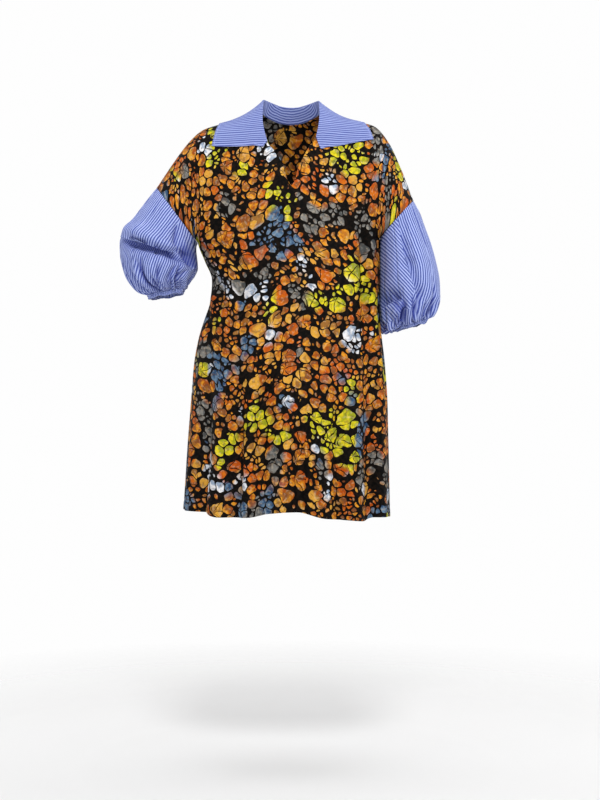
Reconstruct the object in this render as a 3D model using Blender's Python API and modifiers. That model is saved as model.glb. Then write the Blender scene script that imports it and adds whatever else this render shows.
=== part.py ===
"""Wide pull-over dress with dropped shoulders, a deep V neck, a pointed collar
and two balloon sleeves gathered into elastic cuffs.

Metres, +Z up, front toward -Y. Drops are measured down from the neck point.
The cloth keeps the shape it has when worn, one sleeve bent and one hanging.
The right side is toward -X and the left side toward +X, as worn.
"""

import math

import bpy
import numpy as np

# Cloth and seams
CLOTH_WALL = 0.0018
SEAM_GAP = 0.0004
COLLAR_LIFT = 0.0031
COLLAR_LEAN = 0.22
COLLAR_FALL = 2.2
COLLAR_SAG = (0.045, 0.095)

# Body layout
NECK_SHARE = 0.30
UNDERARM_DROP = 0.2905
UNDERARM_TILT = 0.0055
ARMHOLE_FRONT = 0.078
ARMHOLE_BACK = 0.070
SHOULDER_ROUNDING = 1.25
BACK_NECK_RUN = 0.35

# Mesh counts
PANEL_SHOULDER_CELLS = 9
PANEL_NECK_CELLS = 8
PANEL_UPPER_ROWS = 11
PANEL_LOWER_ROWS = 16
SLEEVE_COLUMNS = 48
SLEEVE_ROWS = 13
COLLAR_STATIONS = 38
GATHERS = 12

FRONT = -1
BACK = 1

# Shoulder seam from the right tip over the neck to the left tip
SHOULDER_COLUMNS = ("share", "across", "height")
SHOULDER_LINE = (
    (-1.000, -0.3176, -0.1660),
    (-0.823, -0.2725, -0.0995),
    (-0.704, -0.2390, -0.0570),
    (-0.608, -0.2060, -0.0300),
    (-0.502, -0.1590, -0.0160),
    (-0.384, -0.1070, -0.0010),
    (-0.300, -0.0700, 0.0120),
    (0.000, 0.0000, 0.0220),
    (0.300, 0.0700, 0.0120),
    (0.384, 0.1070, -0.0010),
    (0.502, 0.1620, -0.0130),
    (0.575, 0.1967, -0.0225),
    (0.681, 0.2299, -0.0593),
    (0.810, 0.2570, -0.1140),
    (1.000, 0.2900, -0.1970),
)

# Level rings of the body from the underarm to the hem
RING_COLUMNS = ("drop", "right_edge", "left_edge", "front_depth", "back_depth", "squareness")
BODY_RINGS = (
    (0.285, -0.2215, 0.2095, 0.124, 0.108, 0.74),
    (0.296, -0.2204, 0.2095, 0.125, 0.108, 0.74),
    (0.340, -0.2040, 0.2093, 0.129, 0.111, 0.78),
    (0.385, -0.1870, 0.2093, 0.132, 0.114, 0.82),
    (0.430, -0.1900, 0.2095, 0.135, 0.117, 0.85),
    (0.484, -0.2070, 0.2110, 0.139, 0.121, 0.87),
    (0.520, -0.2180, 0.2150, 0.142, 0.125, 0.88),
    (0.580, -0.2290, 0.2220, 0.147, 0.132, 0.90),
    (0.660, -0.2360, 0.2275, 0.153, 0.141, 0.92),
    (0.740, -0.2420, 0.2300, 0.159, 0.149, 0.94),
    (0.820, -0.2477, 0.2320, 0.164, 0.156, 0.95),
    (0.950, -0.2560, 0.2346, 0.170, 0.164, 0.96),
)

# Hem line, dipping where the folds swing out
HEM_COLUMNS = ("share", "front", "back")
HEM_LINE = (
    (-1.00, 0.924, 0.924),
    (-0.57, 0.927, 0.934),
    (-0.42, 0.936, 0.940),
    (-0.22, 0.934, 0.936),
    (-0.12, 0.927, 0.933),
    (0.00, 0.922, 0.938),
    (0.08, 0.923, 0.942),
    (0.22, 0.936, 0.944),
    (0.42, 0.943, 0.940),
    (0.55, 0.946, 0.944),
    (0.64, 0.939, 0.947),
    (1.00, 0.943, 0.943),
)

# Hanging folds, depth plus for a ridge and minus for a trough
FOLD_COLUMNS = ("side", "top_drop", "top_share", "low_drop", "low_share", "depth", "width", "runs_out")
FOLDS = (
    (FRONT, 0.10, 0.58, 0.62, 0.63, -0.013, 0.060, 1),
    (FRONT, 0.14, 0.74, 1.00, 0.74, 0.010, 0.070, 0),
    (FRONT, 0.45, 0.60, 1.00, 0.58, -0.014, 0.060, 0),
    (FRONT, 0.50, 0.46, 1.00, 0.46, 0.010, 0.055, 0),
    (FRONT, 0.52, 0.34, 1.00, 0.34, -0.013, 0.055, 0),
    (FRONT, 0.58, 0.22, 1.00, 0.22, 0.009, 0.055, 0),
    (FRONT, 0.60, 0.09, 1.00, 0.08, -0.012, 0.050, 0),
    (FRONT, 0.50, -0.02, 1.00, -0.03, 0.007, 0.050, 0),
    (FRONT, 0.46, -0.14, 1.00, -0.14, -0.014, 0.050, 0),
    (FRONT, 0.50, -0.23, 1.00, -0.24, 0.010, 0.050, 0),
    (FRONT, 0.26, -0.47, 0.60, -0.36, -0.011, 0.055, 1),
    (FRONT, 0.46, -0.35, 1.00, -0.34, -0.014, 0.055, 0),
    (FRONT, 0.48, -0.47, 1.00, -0.47, 0.010, 0.055, 0),
    (FRONT, 0.52, -0.60, 1.00, -0.60, -0.013, 0.060, 0),
    (FRONT, 0.34, -0.80, 0.52, -0.56, -0.010, 0.060, 1),
    (FRONT, 0.56, -0.76, 1.00, -0.78, 0.008, 0.070, 0),
    (BACK, 0.12, -0.60, 1.00, -0.62, -0.013, 0.065, 0),
    (BACK, 0.40, -0.45, 1.00, -0.45, 0.011, 0.060, 0),
    (BACK, 0.34, -0.26, 1.00, -0.29, -0.014, 0.065, 0),
    (BACK, 0.44, -0.10, 1.00, -0.12, 0.011, 0.060, 0),
    (BACK, 0.38, 0.06, 1.00, 0.05, -0.014, 0.065, 0),
    (BACK, 0.46, 0.22, 1.00, 0.22, 0.011, 0.060, 0),
    (BACK, 0.32, 0.40, 1.00, 0.38, -0.013, 0.065, 0),
    (BACK, 0.44, 0.55, 1.00, 0.54, 0.010, 0.060, 0),
    (BACK, 0.12, 0.66, 1.00, 0.70, -0.012, 0.065, 0),
)

# V neck edge from each shoulder to the point of the V
NECK_COLUMNS = ("across", "drop")
NECK_RIGHT = (
    (-0.0665, 0.0250),
    (-0.0610, 0.0530),
    (-0.0541, 0.0743),
    (-0.0378, 0.0940),
    (-0.0232, 0.1161),
    (-0.0132, 0.1429),
    (-0.0053, 0.1700),
)
NECK_LEFT = (
    (0.0670, 0.0210),
    (0.0630, 0.0450),
    (0.0584, 0.0644),
    (0.0430, 0.0830),
    (0.0290, 0.1096),
    (0.0160, 0.1380),
    (0.0085, 0.1666),
)
V_POINT = (0.0010, 0.1783)

# Sleeve rings: outer and inner end of each ring and its depth to front and back
SLEEVE_COLUMNS_NAMES = (
    "run", "outer_across", "outer_drop", "inner_across", "inner_drop", "front_depth", "back_depth",
)
BENT_SLEEVE = (
    (0.00, -0.3176, 0.1660, -0.2204, 0.2960, 0.078, 0.070),
    (0.12, -0.3437, 0.2003, -0.2240, 0.3057, 0.086, 0.078),
    (0.25, -0.3697, 0.2346, -0.2245, 0.3160, 0.095, 0.087),
    (0.37, -0.3934, 0.2654, -0.2235, 0.3270, 0.103, 0.095),
    (0.50, -0.4062, 0.2963, -0.2215, 0.3400, 0.108, 0.100),
    (0.62, -0.4041, 0.3294, -0.2205, 0.3560, 0.110, 0.102),
    (0.75, -0.3934, 0.3697, -0.2275, 0.3730, 0.104, 0.098),
    (0.86, -0.3721, 0.3993, -0.2382, 0.3870, 0.090, 0.086),
    (0.94, -0.3519, 0.4136, -0.2453, 0.3985, 0.068, 0.066),
    (1.00, -0.3342, 0.4170, -0.2536, 0.4035, 0.046, 0.046),
)
HANGING_SLEEVE = (
    (0.00, 0.2900, 0.1970, 0.2095, 0.2850, 0.078, 0.070),
    (0.12, 0.3057, 0.2299, 0.2104, 0.3060, 0.082, 0.074),
    (0.25, 0.3185, 0.2643, 0.2105, 0.3300, 0.087, 0.079),
    (0.37, 0.3310, 0.2990, 0.2106, 0.3560, 0.092, 0.084),
    (0.50, 0.3420, 0.3390, 0.2106, 0.3880, 0.097, 0.089),
    (0.62, 0.3510, 0.3830, 0.2108, 0.4180, 0.100, 0.092),
    (0.75, 0.3540, 0.4230, 0.2118, 0.4540, 0.098, 0.090),
    (0.86, 0.3480, 0.4490, 0.2150, 0.4900, 0.088, 0.082),
    (0.94, 0.3370, 0.4680, 0.2215, 0.5090, 0.070, 0.066),
    (1.00, 0.3210, 0.4740, 0.2380, 0.4960, 0.046, 0.046),
)
CUFF_HEIGHT = 0.012

# Sleeve creases: run and turn of each end, depth and width in metres of run
CREASE_COLUMNS = ("run_a", "turn_a", "run_b", "turn_b", "depth", "width")
BENT_CREASES = (
    (0.46, 0.02, 0.50, 0.42, -0.016, 0.055),
    (0.36, 0.04, 0.38, 0.38, 0.009, 0.070),
    (0.12, 0.40, 0.60, 0.36, -0.008, 0.050),
    (0.30, 0.62, 0.62, 0.80, -0.010, 0.060),
)
HANGING_CREASES = (
    (0.05, 0.24, 0.45, 0.27, -0.008, 0.045),
    (0.45, 0.27, 0.88, 0.16, -0.008, 0.045),
    (0.78, 0.46, 0.80, 0.30, 0.008, 0.060),
    (0.20, 0.70, 0.80, 0.76, -0.009, 0.060),
)

# Collar: where its outer edge lies and how high it stands above the neck edge
COLLAR_COLUMNS = ("station", "edge_share", "edge_run", "stand")
COLLAR_SECTIONS = (
    (0.00, -0.560, 0.500, 0.004),
    (0.06, -0.545, 0.400, 0.007),
    (0.14, -0.525, 0.230, 0.013),
    (0.24, -0.505, 0.000, 0.025),
    (0.34, -0.440, -0.300, 0.036),
    (0.42, -0.230, -0.480, 0.042),
    (0.50, 0.000, -0.530, 0.044),
    (0.58, 0.230, -0.480, 0.042),
    (0.66, 0.440, -0.300, 0.036),
    (0.76, 0.500, 0.000, 0.025),
    (0.86, 0.525, 0.210, 0.013),
    (0.94, 0.552, 0.350, 0.007),
    (1.00, 0.574, 0.440, 0.004),
)

# Colours
PRINT_GROUND = (0.045, 0.032, 0.040, 1.0)
STRIPE_BLUE = (0.20, 0.26, 0.62, 1.0)


def smooth_value(table, names, wanted, place):
    """Read one named column of a table at any place along its first column."""
    keys = np.array([row[0] for row in table], float)
    values = np.array([row[names.index(wanted)] for row in table], float)
    steps = np.diff(keys)
    rises = np.diff(values) / steps
    slopes = np.zeros(len(keys))
    slopes[0] = rises[0]
    slopes[-1] = rises[-1]
    product = rises[:-1] * rises[1:]
    total = np.where(product > 0, rises[:-1] + rises[1:], 1.0)
    slopes[1:-1] = np.where(product > 0, 2.0 * product / total, 0.0)
    place = np.clip(np.asarray(place, float), keys[0], keys[-1])
    low = np.clip(np.searchsorted(keys, place) - 1, 0, len(keys) - 2)
    part = (place - keys[low]) / steps[low]
    rest = 1.0 - part
    start = values[low] * (1.0 + 2.0 * part) * rest ** 2
    end = values[low + 1] * (3.0 - 2.0 * part) * part ** 2
    lean = steps[low] * part * rest * (slopes[low] * rest - slopes[low + 1] * part)
    return start + end + lean


def ease(low, high, value):
    """Rise gently from nought to one between two values."""
    part = np.clip((np.asarray(value, float) - low) / (high - low), 0.0, 1.0)
    return part * part * (3.0 - 2.0 * part)


def fold_offset(side, share, drop):
    """How far the hanging folds push the cloth out at a spot on a panel."""
    total = np.zeros(np.broadcast(share, drop).shape)
    for row in FOLDS:
        fold = dict(zip(FOLD_COLUMNS, row))
        if fold["side"] != side:
            continue
        length = fold["low_drop"] - fold["top_drop"]
        along = (drop - fold["top_drop"]) / length
        centre = fold["top_share"] + (fold["low_share"] - fold["top_share"]) * along
        reach = ease(0.0, 0.55, along)
        if fold["runs_out"]:
            reach = reach * (1.0 - ease(0.6, 1.0, along))
        bell = np.exp(-((share - centre) / fold["width"]) ** 2)
        total = total + fold["depth"] * bell * reach
    return total * (1.0 - np.abs(share) ** 8)


def panel(side, share, run):
    """Point on the front or back.

    share goes from -1 at the right side seam to 1 at the left one.
    run is 0 at the shoulder seam, 1 at the underarm level and 2 at the hem.
    """
    share = np.asarray(share, float)
    run = np.asarray(run, float)
    upper = np.clip(run, 0.0, 1.0)
    lower = np.clip(run - 1.0, 0.0, 1.0)
    top_drop = UNDERARM_DROP - UNDERARM_TILT * share
    hem = smooth_value(HEM_LINE, HEM_COLUMNS, "front" if side == FRONT else "back", share)
    drop = top_drop + (hem - top_drop) * lower
    right = smooth_value(BODY_RINGS, RING_COLUMNS, "right_edge", drop)
    left = smooth_value(BODY_RINGS, RING_COLUMNS, "left_edge", drop)
    depth_name = "front_depth" if side == FRONT else "back_depth"
    depth = smooth_value(BODY_RINGS, RING_COLUMNS, depth_name, drop)
    square = smooth_value(BODY_RINGS, RING_COLUMNS, "squareness", drop)
    middle = (left + right) / 2.0
    half = (left - right) / 2.0
    angle = share * math.pi / 2.0
    fullness = np.clip(np.cos(angle), 0.0, 1.0) ** square
    ring_x = middle + half * np.sin(angle)
    seam_x = smooth_value(SHOULDER_LINE, SHOULDER_COLUMNS, "across", share)
    seam_z = smooth_value(SHOULDER_LINE, SHOULDER_COLUMNS, "height", share)
    edge = ease(0.55, 1.0, np.abs(share))
    open_way = np.clip(1.0 - np.cos(upper * math.pi / 2.0), 0.0, 1.0) ** SHOULDER_ROUNDING
    edge_way = (1.0 - np.cos(upper * math.pi)) / 2.0
    way = open_way * (1.0 - edge) + edge_way * edge
    x = seam_x + (ring_x - seam_x) * way
    z = seam_z + (-drop - seam_z) * way
    armhole = ARMHOLE_FRONT if side == FRONT else ARMHOLE_BACK
    swell = armhole * np.sin(upper * math.pi) * (1.0 - fullness)
    y = side * (swell + depth * fullness * np.sin(upper * math.pi / 2.0))
    push_x = (x - middle) / half ** 2
    push_y = y / depth ** 2
    size = np.sqrt(push_x ** 2 + push_y ** 2) + 1e-9
    push = fold_offset(side, share, -z) * ease(0.15, 0.6, upper) / size
    return np.stack([x + push_x * push, y + push_y * push, z], axis=-1)


def panel_normal(side, share, run):
    """Outward direction of a panel at a spot."""
    step = 0.004
    across = panel(side, share + step, run) - panel(side, share - step, run)
    down = panel(side, share, run + step) - panel(side, share, np.maximum(run - step, 0.0))
    normal = np.cross(across, down) * side
    return normal / (np.linalg.norm(normal, axis=-1, keepdims=True) + 1e-12)


def find_spot(side, across, drop):
    """Share and run of the panel spot seen at a place in the front view."""
    low_share = -0.95
    high_share = 0.95
    for _ in range(28):
        share = (low_share + high_share) / 2.0
        low_run = 0.0
        high_run = 1.0
        for _ in range(24):
            run = (low_run + high_run) / 2.0
            if -panel(side, share, run)[2] < drop:
                low_run = run
            else:
                high_run = run
        if panel(side, share, run)[0] < across:
            low_share = share
        else:
            high_share = share
    return share, run


def neck_path():
    """Neck edge as spots on the panels, right shoulder to V point to left shoulder."""
    right = [(-NECK_SHARE, 0.0)] + [find_spot(FRONT, *row) for row in NECK_RIGHT]
    left = [(NECK_SHARE, 0.0)] + [find_spot(FRONT, *row) for row in NECK_LEFT]
    point = find_spot(FRONT, *V_POINT)
    return right + [point], left + [point]


def along_path(spots, count):
    """Spots at even distances along a path drawn on a panel."""
    spots = np.array(spots)
    points = panel(FRONT, spots[:, 0], spots[:, 1])
    lengths = np.concatenate([[0.0], np.cumsum(np.linalg.norm(np.diff(points, axis=0), axis=1))])
    wanted = np.linspace(0.0, lengths[-1], count)
    table = [(lengths[i], spots[i, 0], spots[i, 1]) for i in range(len(spots))]
    names = ("length", "share", "run")
    share = smooth_value(table, names, "share", wanted)
    run = smooth_value(table, names, "run", wanted)
    return np.stack([share, run], axis=-1)


def panel_grid(side, top_spots):
    """Rows and columns of a whole panel, fitted to its top edge."""
    columns = len(top_spots)
    low_share = np.linspace(-1.0, 1.0, columns)
    low_share = np.sign(low_share) * (1.0 - (1.0 - np.abs(low_share)) ** 1.06)
    low_share[0] = -1.0
    low_share[-1] = 1.0
    edge_cell = 0.018
    upper = np.concatenate([[0.0, 0.03], np.linspace(0.0, 1.0, PANEL_UPPER_ROWS + 1)[1:]])
    lower = np.linspace(0.0, 1.0, PANEL_LOWER_ROWS + 1)[1:]
    rows = []
    top_share = top_spots[:, 0]
    top_run = top_spots[:, 1]
    for part in upper:
        share = top_share + (low_share - top_share) * ease(0.0, 1.0, part)
        run = top_run + (1.0 - top_run) * part
        rows.append((share, run))
    for part in lower:
        rows.append((low_share, np.full(columns, 1.0 + part)))
    share = np.array([row[0] for row in rows])
    run = np.array([row[1] for row in rows])
    share = np.concatenate([share[:, :1], share[:, :1] + edge_cell, share[:, 1:-1],
                            share[:, -1:] - edge_cell, share[:, -1:]], axis=1)
    run = np.concatenate([run[:, :1], run[:, :1], run[:, 1:-1], run[:, -1:], run[:, -1:]], axis=1)
    grid = panel(side, share, run)
    grid[..., 1] += side * SEAM_GAP / 2.0
    return grid


def shoulder_spots(sign, count):
    """Even spots along one shoulder seam from its tip toward the neck."""
    share = np.linspace(1.0, NECK_SHARE, count)
    return np.stack([sign * share, np.zeros(count)], axis=-1)


def front_top():
    """Top edge of the front: shoulder, V neck, shoulder."""
    right_neck, left_neck = neck_path()
    right_shoulder = shoulder_spots(-1.0, PANEL_SHOULDER_CELLS + 1)
    left_shoulder = shoulder_spots(1.0, PANEL_SHOULDER_CELLS + 1)
    right = along_path(right_neck, PANEL_NECK_CELLS + 1)
    left = along_path(left_neck, PANEL_NECK_CELLS + 1)
    return np.concatenate([right_shoulder[:-1], right, left[::-1][1:], left_shoulder[::-1][1:]])


def back_top():
    """Top edge of the back: shoulder, shallow neck curve, shoulder."""
    turn = np.linspace(0.0, math.pi, 2 * PANEL_NECK_CELLS - 3)
    share = -NECK_SHARE * np.cos(turn)
    run = BACK_NECK_RUN * np.sin(turn) ** 0.85
    neck = np.stack([share, run], axis=-1)
    right_shoulder = shoulder_spots(-1.0, PANEL_SHOULDER_CELLS + 1)
    left_shoulder = shoulder_spots(1.0, PANEL_SHOULDER_CELLS + 1)
    return np.concatenate([right_shoulder[:-1], neck, left_shoulder[::-1][1:]])


def crease_offset(creases, run, turn):
    """How far the creases of a sleeve push its cloth out."""
    total = np.zeros(np.broadcast(run, turn).shape)
    for row in creases:
        crease = dict(zip(CREASE_COLUMNS, row))
        run_step = crease["run_b"] - crease["run_a"]
        turn_step = crease["turn_b"] - crease["turn_a"]
        length = run_step ** 2 + turn_step ** 2
        along = ((run - crease["run_a"]) * run_step + (turn - crease["turn_a"]) * turn_step) / length
        held = np.clip(along, 0.0, 1.0)
        far_run = run - crease["run_a"] - run_step * held
        far_turn = turn - crease["turn_a"] - turn_step * held
        distance = np.sqrt(far_run ** 2 + far_turn ** 2)
        total = total + crease["depth"] * np.exp(-(distance / crease["width"]) ** 2)
    return total


def gather_wave(turn):
    """Uneven wave of the gathers round a sleeve end, from -1 to 1."""
    height = 1.0 + 0.22 * np.sin(4.0 * math.pi * turn + 0.7) + 0.16 * np.sin(10.0 * math.pi * turn)
    return np.cos(2.0 * math.pi * GATHERS * turn) * height


def sleeve_point(table, creases, run, turn):
    """Point on a sleeve.

    run goes from 0 at the armhole to 1 at the cuff.
    turn goes once round, from the outer end over the front to the inner end and back.
    """
    names = SLEEVE_COLUMNS_NAMES
    outer_x = smooth_value(table, names, "outer_across", run)
    outer_z = -smooth_value(table, names, "outer_drop", run)
    inner_x = smooth_value(table, names, "inner_across", run)
    inner_z = -smooth_value(table, names, "inner_drop", run)
    front = smooth_value(table, names, "front_depth", run)
    back = smooth_value(table, names, "back_depth", run)
    angle = 2.0 * math.pi * turn
    way = (1.0 - np.cos(angle)) / 2.0
    depth = np.where(np.sin(angle) > 0.0, front, back)
    centre_x = (outer_x + inner_x) / 2.0
    centre_z = (outer_z + inner_z) / 2.0
    x = outer_x + (inner_x - outer_x) * way
    z = outer_z + (inner_z - outer_z) * way
    y = -depth * np.sin(angle)
    size = np.sqrt((x - centre_x) ** 2 + y ** 2 + (z - centre_z) ** 2) + 1e-9
    inner_side = 1.0 - 0.9 * ease(0.60, 0.95, way)
    push = crease_offset(creases, run, turn) * ease(0.02, 0.12, run) * (1.0 - ease(0.9, 1.0, run))
    push = (push * inner_side + 0.0040 * gather_wave(turn) * ease(0.62, 0.97, run)) / size
    return np.stack([x + (x - centre_x) * push, y * (1.0 + push), z + (z - centre_z) * push], axis=-1)


def sleeve_axis(table):
    """Direction in which a sleeve leaves its cuff end."""
    end = dict(zip(SLEEVE_COLUMNS_NAMES, table[-1]))
    across = end["inner_across"] - end["outer_across"]
    down = end["inner_drop"] - end["outer_drop"]
    axis = np.array([down, 0.0, -abs(across)])
    axis[0] = down * (1.0 if across > 0 else -1.0)
    return axis / np.linalg.norm(axis)


def sleeve_grid(table, creases):
    """Rings of a sleeve from the armhole to the cuff."""
    run = np.linspace(0.0, 1.0, SLEEVE_ROWS + 1)
    run = np.concatenate([[0.0, 0.018], run[1:-1], [0.975, 1.0]])
    turn = np.arange(SLEEVE_COLUMNS) / SLEEVE_COLUMNS
    grid = sleeve_point(table, creases, run[:, None], turn[None, :])
    outward = -1.0 if table[0][1] < 0 else 1.0
    grid[..., 0] += outward * SEAM_GAP * 0.9
    grid[..., 2] -= SEAM_GAP * 0.6
    return grid


def cuff_grid(table, creases):
    """Ruffled rings of an elastic cuff below a sleeve."""
    turn = np.arange(SLEEVE_COLUMNS) / SLEEVE_COLUMNS
    start = sleeve_grid(table, creases)[-1]
    axis = sleeve_axis(table)
    centre = start.mean(axis=0)
    rows = []
    for part, swell in ((0.0, 1.00), (0.25, 1.035), (0.75, 1.035), (1.0, 0.99)):
        ring = centre + (start - centre) * swell
        rows.append(ring + axis * (SEAM_GAP + CUFF_HEIGHT * part))
    return np.array(rows)


def neck_edge_stations(count):
    """Signed spots round the neck seam: front right, back, front left."""
    right_neck, left_neck = neck_path()
    right = along_path(right_neck[:4][::-1], 12)
    left = along_path(left_neck[:4], 12)
    turn = np.linspace(0.0, math.pi, 25)
    back_share = -NECK_SHARE * np.cos(turn)
    back_run = -BACK_NECK_RUN * np.sin(turn) ** 0.85
    back = np.stack([back_share, back_run], axis=-1)
    spots = np.concatenate([right, back[1:-1], left])
    points = signed_panel(spots[:, 0], spots[:, 1])
    lengths = np.concatenate([[0.0], np.cumsum(np.linalg.norm(np.diff(points, axis=0), axis=1))])
    wanted = np.linspace(0.0, lengths[-1], count)
    share = np.interp(wanted, lengths, spots[:, 0])
    run = np.interp(wanted, lengths, spots[:, 1])
    return share, run


def signed_panel(share, run):
    """Panel point where a minus run means the back."""
    front = panel(FRONT, share, np.maximum(run, 0.0))
    back = panel(BACK, share, np.maximum(-run, 0.0))
    return np.where((np.asarray(run) >= 0.0)[..., None], front, back)


def signed_normal(share, run):
    """Outward direction where a minus run means the back."""
    front = panel_normal(FRONT, share, np.maximum(run, 0.004))
    back = panel_normal(BACK, share, np.maximum(-run, 0.004))
    blend = (0.5 + 0.5 * np.clip(np.asarray(run) / 0.06, -1.0, 1.0))[..., None]
    normal = front * blend + back * (1.0 - blend)
    return normal / np.linalg.norm(normal, axis=-1, keepdims=True)


def collar_sag(station, part):
    """How far the front ends of the collar hang below a straight edge."""
    ends = COLLAR_SAG[0] * (1.0 - ease(0.0, 0.17, station)) + COLLAR_SAG[1] * ease(0.83, 1.0, station)
    return ends * ease(0.0, 0.08, part) * (1.0 - part) ** 0.6


def collar_grid():
    """Collar from the neck seam up the stand, over the roll and down the fall."""
    neck_share, neck_run = neck_edge_stations(COLLAR_STATIONS)
    station = np.linspace(0.0, 1.0, COLLAR_STATIONS)
    edge_share = smooth_value(COLLAR_SECTIONS, COLLAR_COLUMNS, "edge_share", station)
    edge_run = smooth_value(COLLAR_SECTIONS, COLLAR_COLUMNS, "edge_run", station)
    stand = smooth_value(COLLAR_SECTIONS, COLLAR_COLUMNS, "stand", station)
    up = np.array([0.0, 0.0, 1.0])
    seam = signed_panel(neck_share, neck_run)
    lift = signed_normal(neck_share, neck_run)
    base = seam + lift * COLLAR_LIFT
    inward = -seam * np.array([1.0, 1.0, 0.0])
    lean = COLLAR_LEAN * inward / np.linalg.norm(inward, axis=-1, keepdims=True)
    rows = []
    for part in (0.0, 0.35, 0.7, 0.92):
        sunk = lift * (COLLAR_LIFT - 0.0004) * (1.0 - part)
        rows.append(base - sunk + (up + lean) * stand[:, None] * part)
    for part in (0.0, 0.06, 0.16, 0.28, 0.42, 0.57, 0.72, 0.87, 1.0):
        share = neck_share + (edge_share - neck_share) * part
        run = neck_run + (edge_run - neck_run) * part + collar_sag(station, part)
        height = stand * (1.0 - part) ** COLLAR_FALL
        point = signed_panel(share, run) + signed_normal(share, run) * COLLAR_LIFT
        rows.append(point + (up + lean) * height[:, None])
    return np.array(rows)


def fresh_collection(name):
    """Make a collection in the scene."""
    group = bpy.data.collections.new(name)
    bpy.context.scene.collection.children.link(group)
    return group


def cloth_material(name, colour, roughness):
    """Plain cloth colour."""
    material = bpy.data.materials.new(name)
    material.use_nodes = True
    shader = material.node_tree.nodes["Principled BSDF"]
    shader.inputs["Base Color"].default_value = colour
    shader.inputs["Roughness"].default_value = roughness
    shader.inputs["Metallic"].default_value = 0.0
    material.diffuse_color = colour
    return material


def cloth_piece(name, grid, material, group, closed, flip):
    """Open surface from a grid of points, given its cloth thickness."""
    rows, columns = grid.shape[:2]
    points = [tuple(point) for point in grid.reshape(-1, 3)]
    faces = []
    last = columns if closed else columns - 1
    for row in range(rows - 1):
        for column in range(last):
            beside = (column + 1) % columns
            face = [row * columns + column, row * columns + beside,
                    (row + 1) * columns + beside, (row + 1) * columns + column]
            faces.append(face[::-1] if flip else face)
    mesh = bpy.data.meshes.new(name)
    mesh.from_pydata(points, [], faces)
    mesh.materials.append(material)
    mesh.shade_smooth()
    piece = bpy.data.objects.new(name, mesh)
    group.objects.link(piece)
    wall = piece.modifiers.new("wall", "SOLIDIFY")
    wall.thickness = CLOTH_WALL
    wall.offset = -1.0
    wall.use_rim = True
    wall.use_quality_normals = True
    return piece


def build():
    """Make the dress."""
    for leftover in list(bpy.data.objects):
        bpy.data.objects.remove(leftover, do_unlink=True)
    group = fresh_collection("bubu_dress")
    print_front = cloth_material("front_print", PRINT_GROUND, 0.62)
    print_back = cloth_material("back_print", PRINT_GROUND, 0.62)
    cloth_piece("front_panel", panel_grid(FRONT, front_top()), print_front, group, False, True)
    cloth_piece("back_panel", panel_grid(BACK, back_top()), print_back, group, False, False)
    sleeves = (
        ("right", BENT_SLEEVE, BENT_CREASES, True),
        ("left", HANGING_SLEEVE, HANGING_CREASES, False),
    )
    for side_name, table, creases, flip in sleeves:
        sleeve_cloth = cloth_material("stripe_sleeve_" + side_name, STRIPE_BLUE, 0.7)
        cuff_cloth = cloth_material("stripe_cuff_" + side_name, STRIPE_BLUE, 0.7)
        cloth_piece("sleeve_" + side_name, sleeve_grid(table, creases), sleeve_cloth, group, True, flip)
        cloth_piece("cuff_" + side_name, cuff_grid(table, creases), cuff_cloth, group, True, flip)
    collar_cloth = cloth_material("stripe_collar", STRIPE_BLUE, 0.7)
    cloth_piece("collar", collar_grid(), collar_cloth, group, False, False)


build()
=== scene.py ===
"""Looks of the dress: a thin cloth shell on each solid's form, printed and striped
cotton, seams and stitches, a plain studio and the camera.

Metres, +Z up, front toward -Y. The right side is toward -X, as worn.
"""

import math
from functools import partialmethod

import bpy
import numpy as np
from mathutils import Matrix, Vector


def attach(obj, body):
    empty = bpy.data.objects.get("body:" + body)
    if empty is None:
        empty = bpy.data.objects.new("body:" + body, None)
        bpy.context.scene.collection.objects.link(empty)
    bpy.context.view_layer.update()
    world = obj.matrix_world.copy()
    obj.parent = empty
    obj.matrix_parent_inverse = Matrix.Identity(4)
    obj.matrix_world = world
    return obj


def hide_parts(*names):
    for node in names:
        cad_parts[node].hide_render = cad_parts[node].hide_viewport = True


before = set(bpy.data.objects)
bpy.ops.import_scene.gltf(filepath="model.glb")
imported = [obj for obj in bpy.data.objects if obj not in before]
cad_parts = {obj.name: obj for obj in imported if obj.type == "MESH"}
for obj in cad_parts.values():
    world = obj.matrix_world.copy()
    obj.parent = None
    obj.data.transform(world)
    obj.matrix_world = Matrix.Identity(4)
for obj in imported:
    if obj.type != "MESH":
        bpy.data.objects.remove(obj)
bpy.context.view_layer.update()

FRONT = -1
BACK = 1

# Cloth and seams
SHELL = 0.0009
COLLAR_SHELL = 0.0015
SEAM_GAP = 0.0004
SEAM_DENT = 0.0007
SEAM_WIDTH = 0.004
HEM_DEPTH = 0.020
HEM_STEP = 0.0005
REST_GAP = 0.0007

# Form of the panels, the cuffs and the collar
NECK_SHARE = 0.30
UNDERARM_DROP = 0.2905
UNDERARM_TILT = 0.0055
ARMHOLE_FRONT = 0.078
ARMHOLE_BACK = 0.070
SHOULDER_ROUNDING = 1.25
BACK_NECK_RUN = 0.35
CUFF_HEIGHT = 0.012
COLLAR_LIFT = 0.0031
COLLAR_LEAN = 0.22
COLLAR_FALL = 2.2
COLLAR_SAG = (0.045, 0.095)

# Mesh counts
PANEL_SHOULDER_CELLS = 46
PANEL_NECK_CELLS = 42
BACK_NECK_SPOTS = 81
PANEL_TOP_ROWS = 72
PANEL_SKIRT_ROWS = 126
SLEEVE_AROUND = 336
SLEEVE_ALONG = 128
CUFF_ROWS = 13
COLLAR_AROUND = 176
COLLAR_STAND_ROWS = 13
COLLAR_FALL_ROWS = 42
AROUND = np.arange(SLEEVE_AROUND) / SLEEVE_AROUND

# Length and girth that stand for run and turn where folds are placed on a sleeve
SLEEVE_SIZE = np.array((0.27, 0.62))

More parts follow.
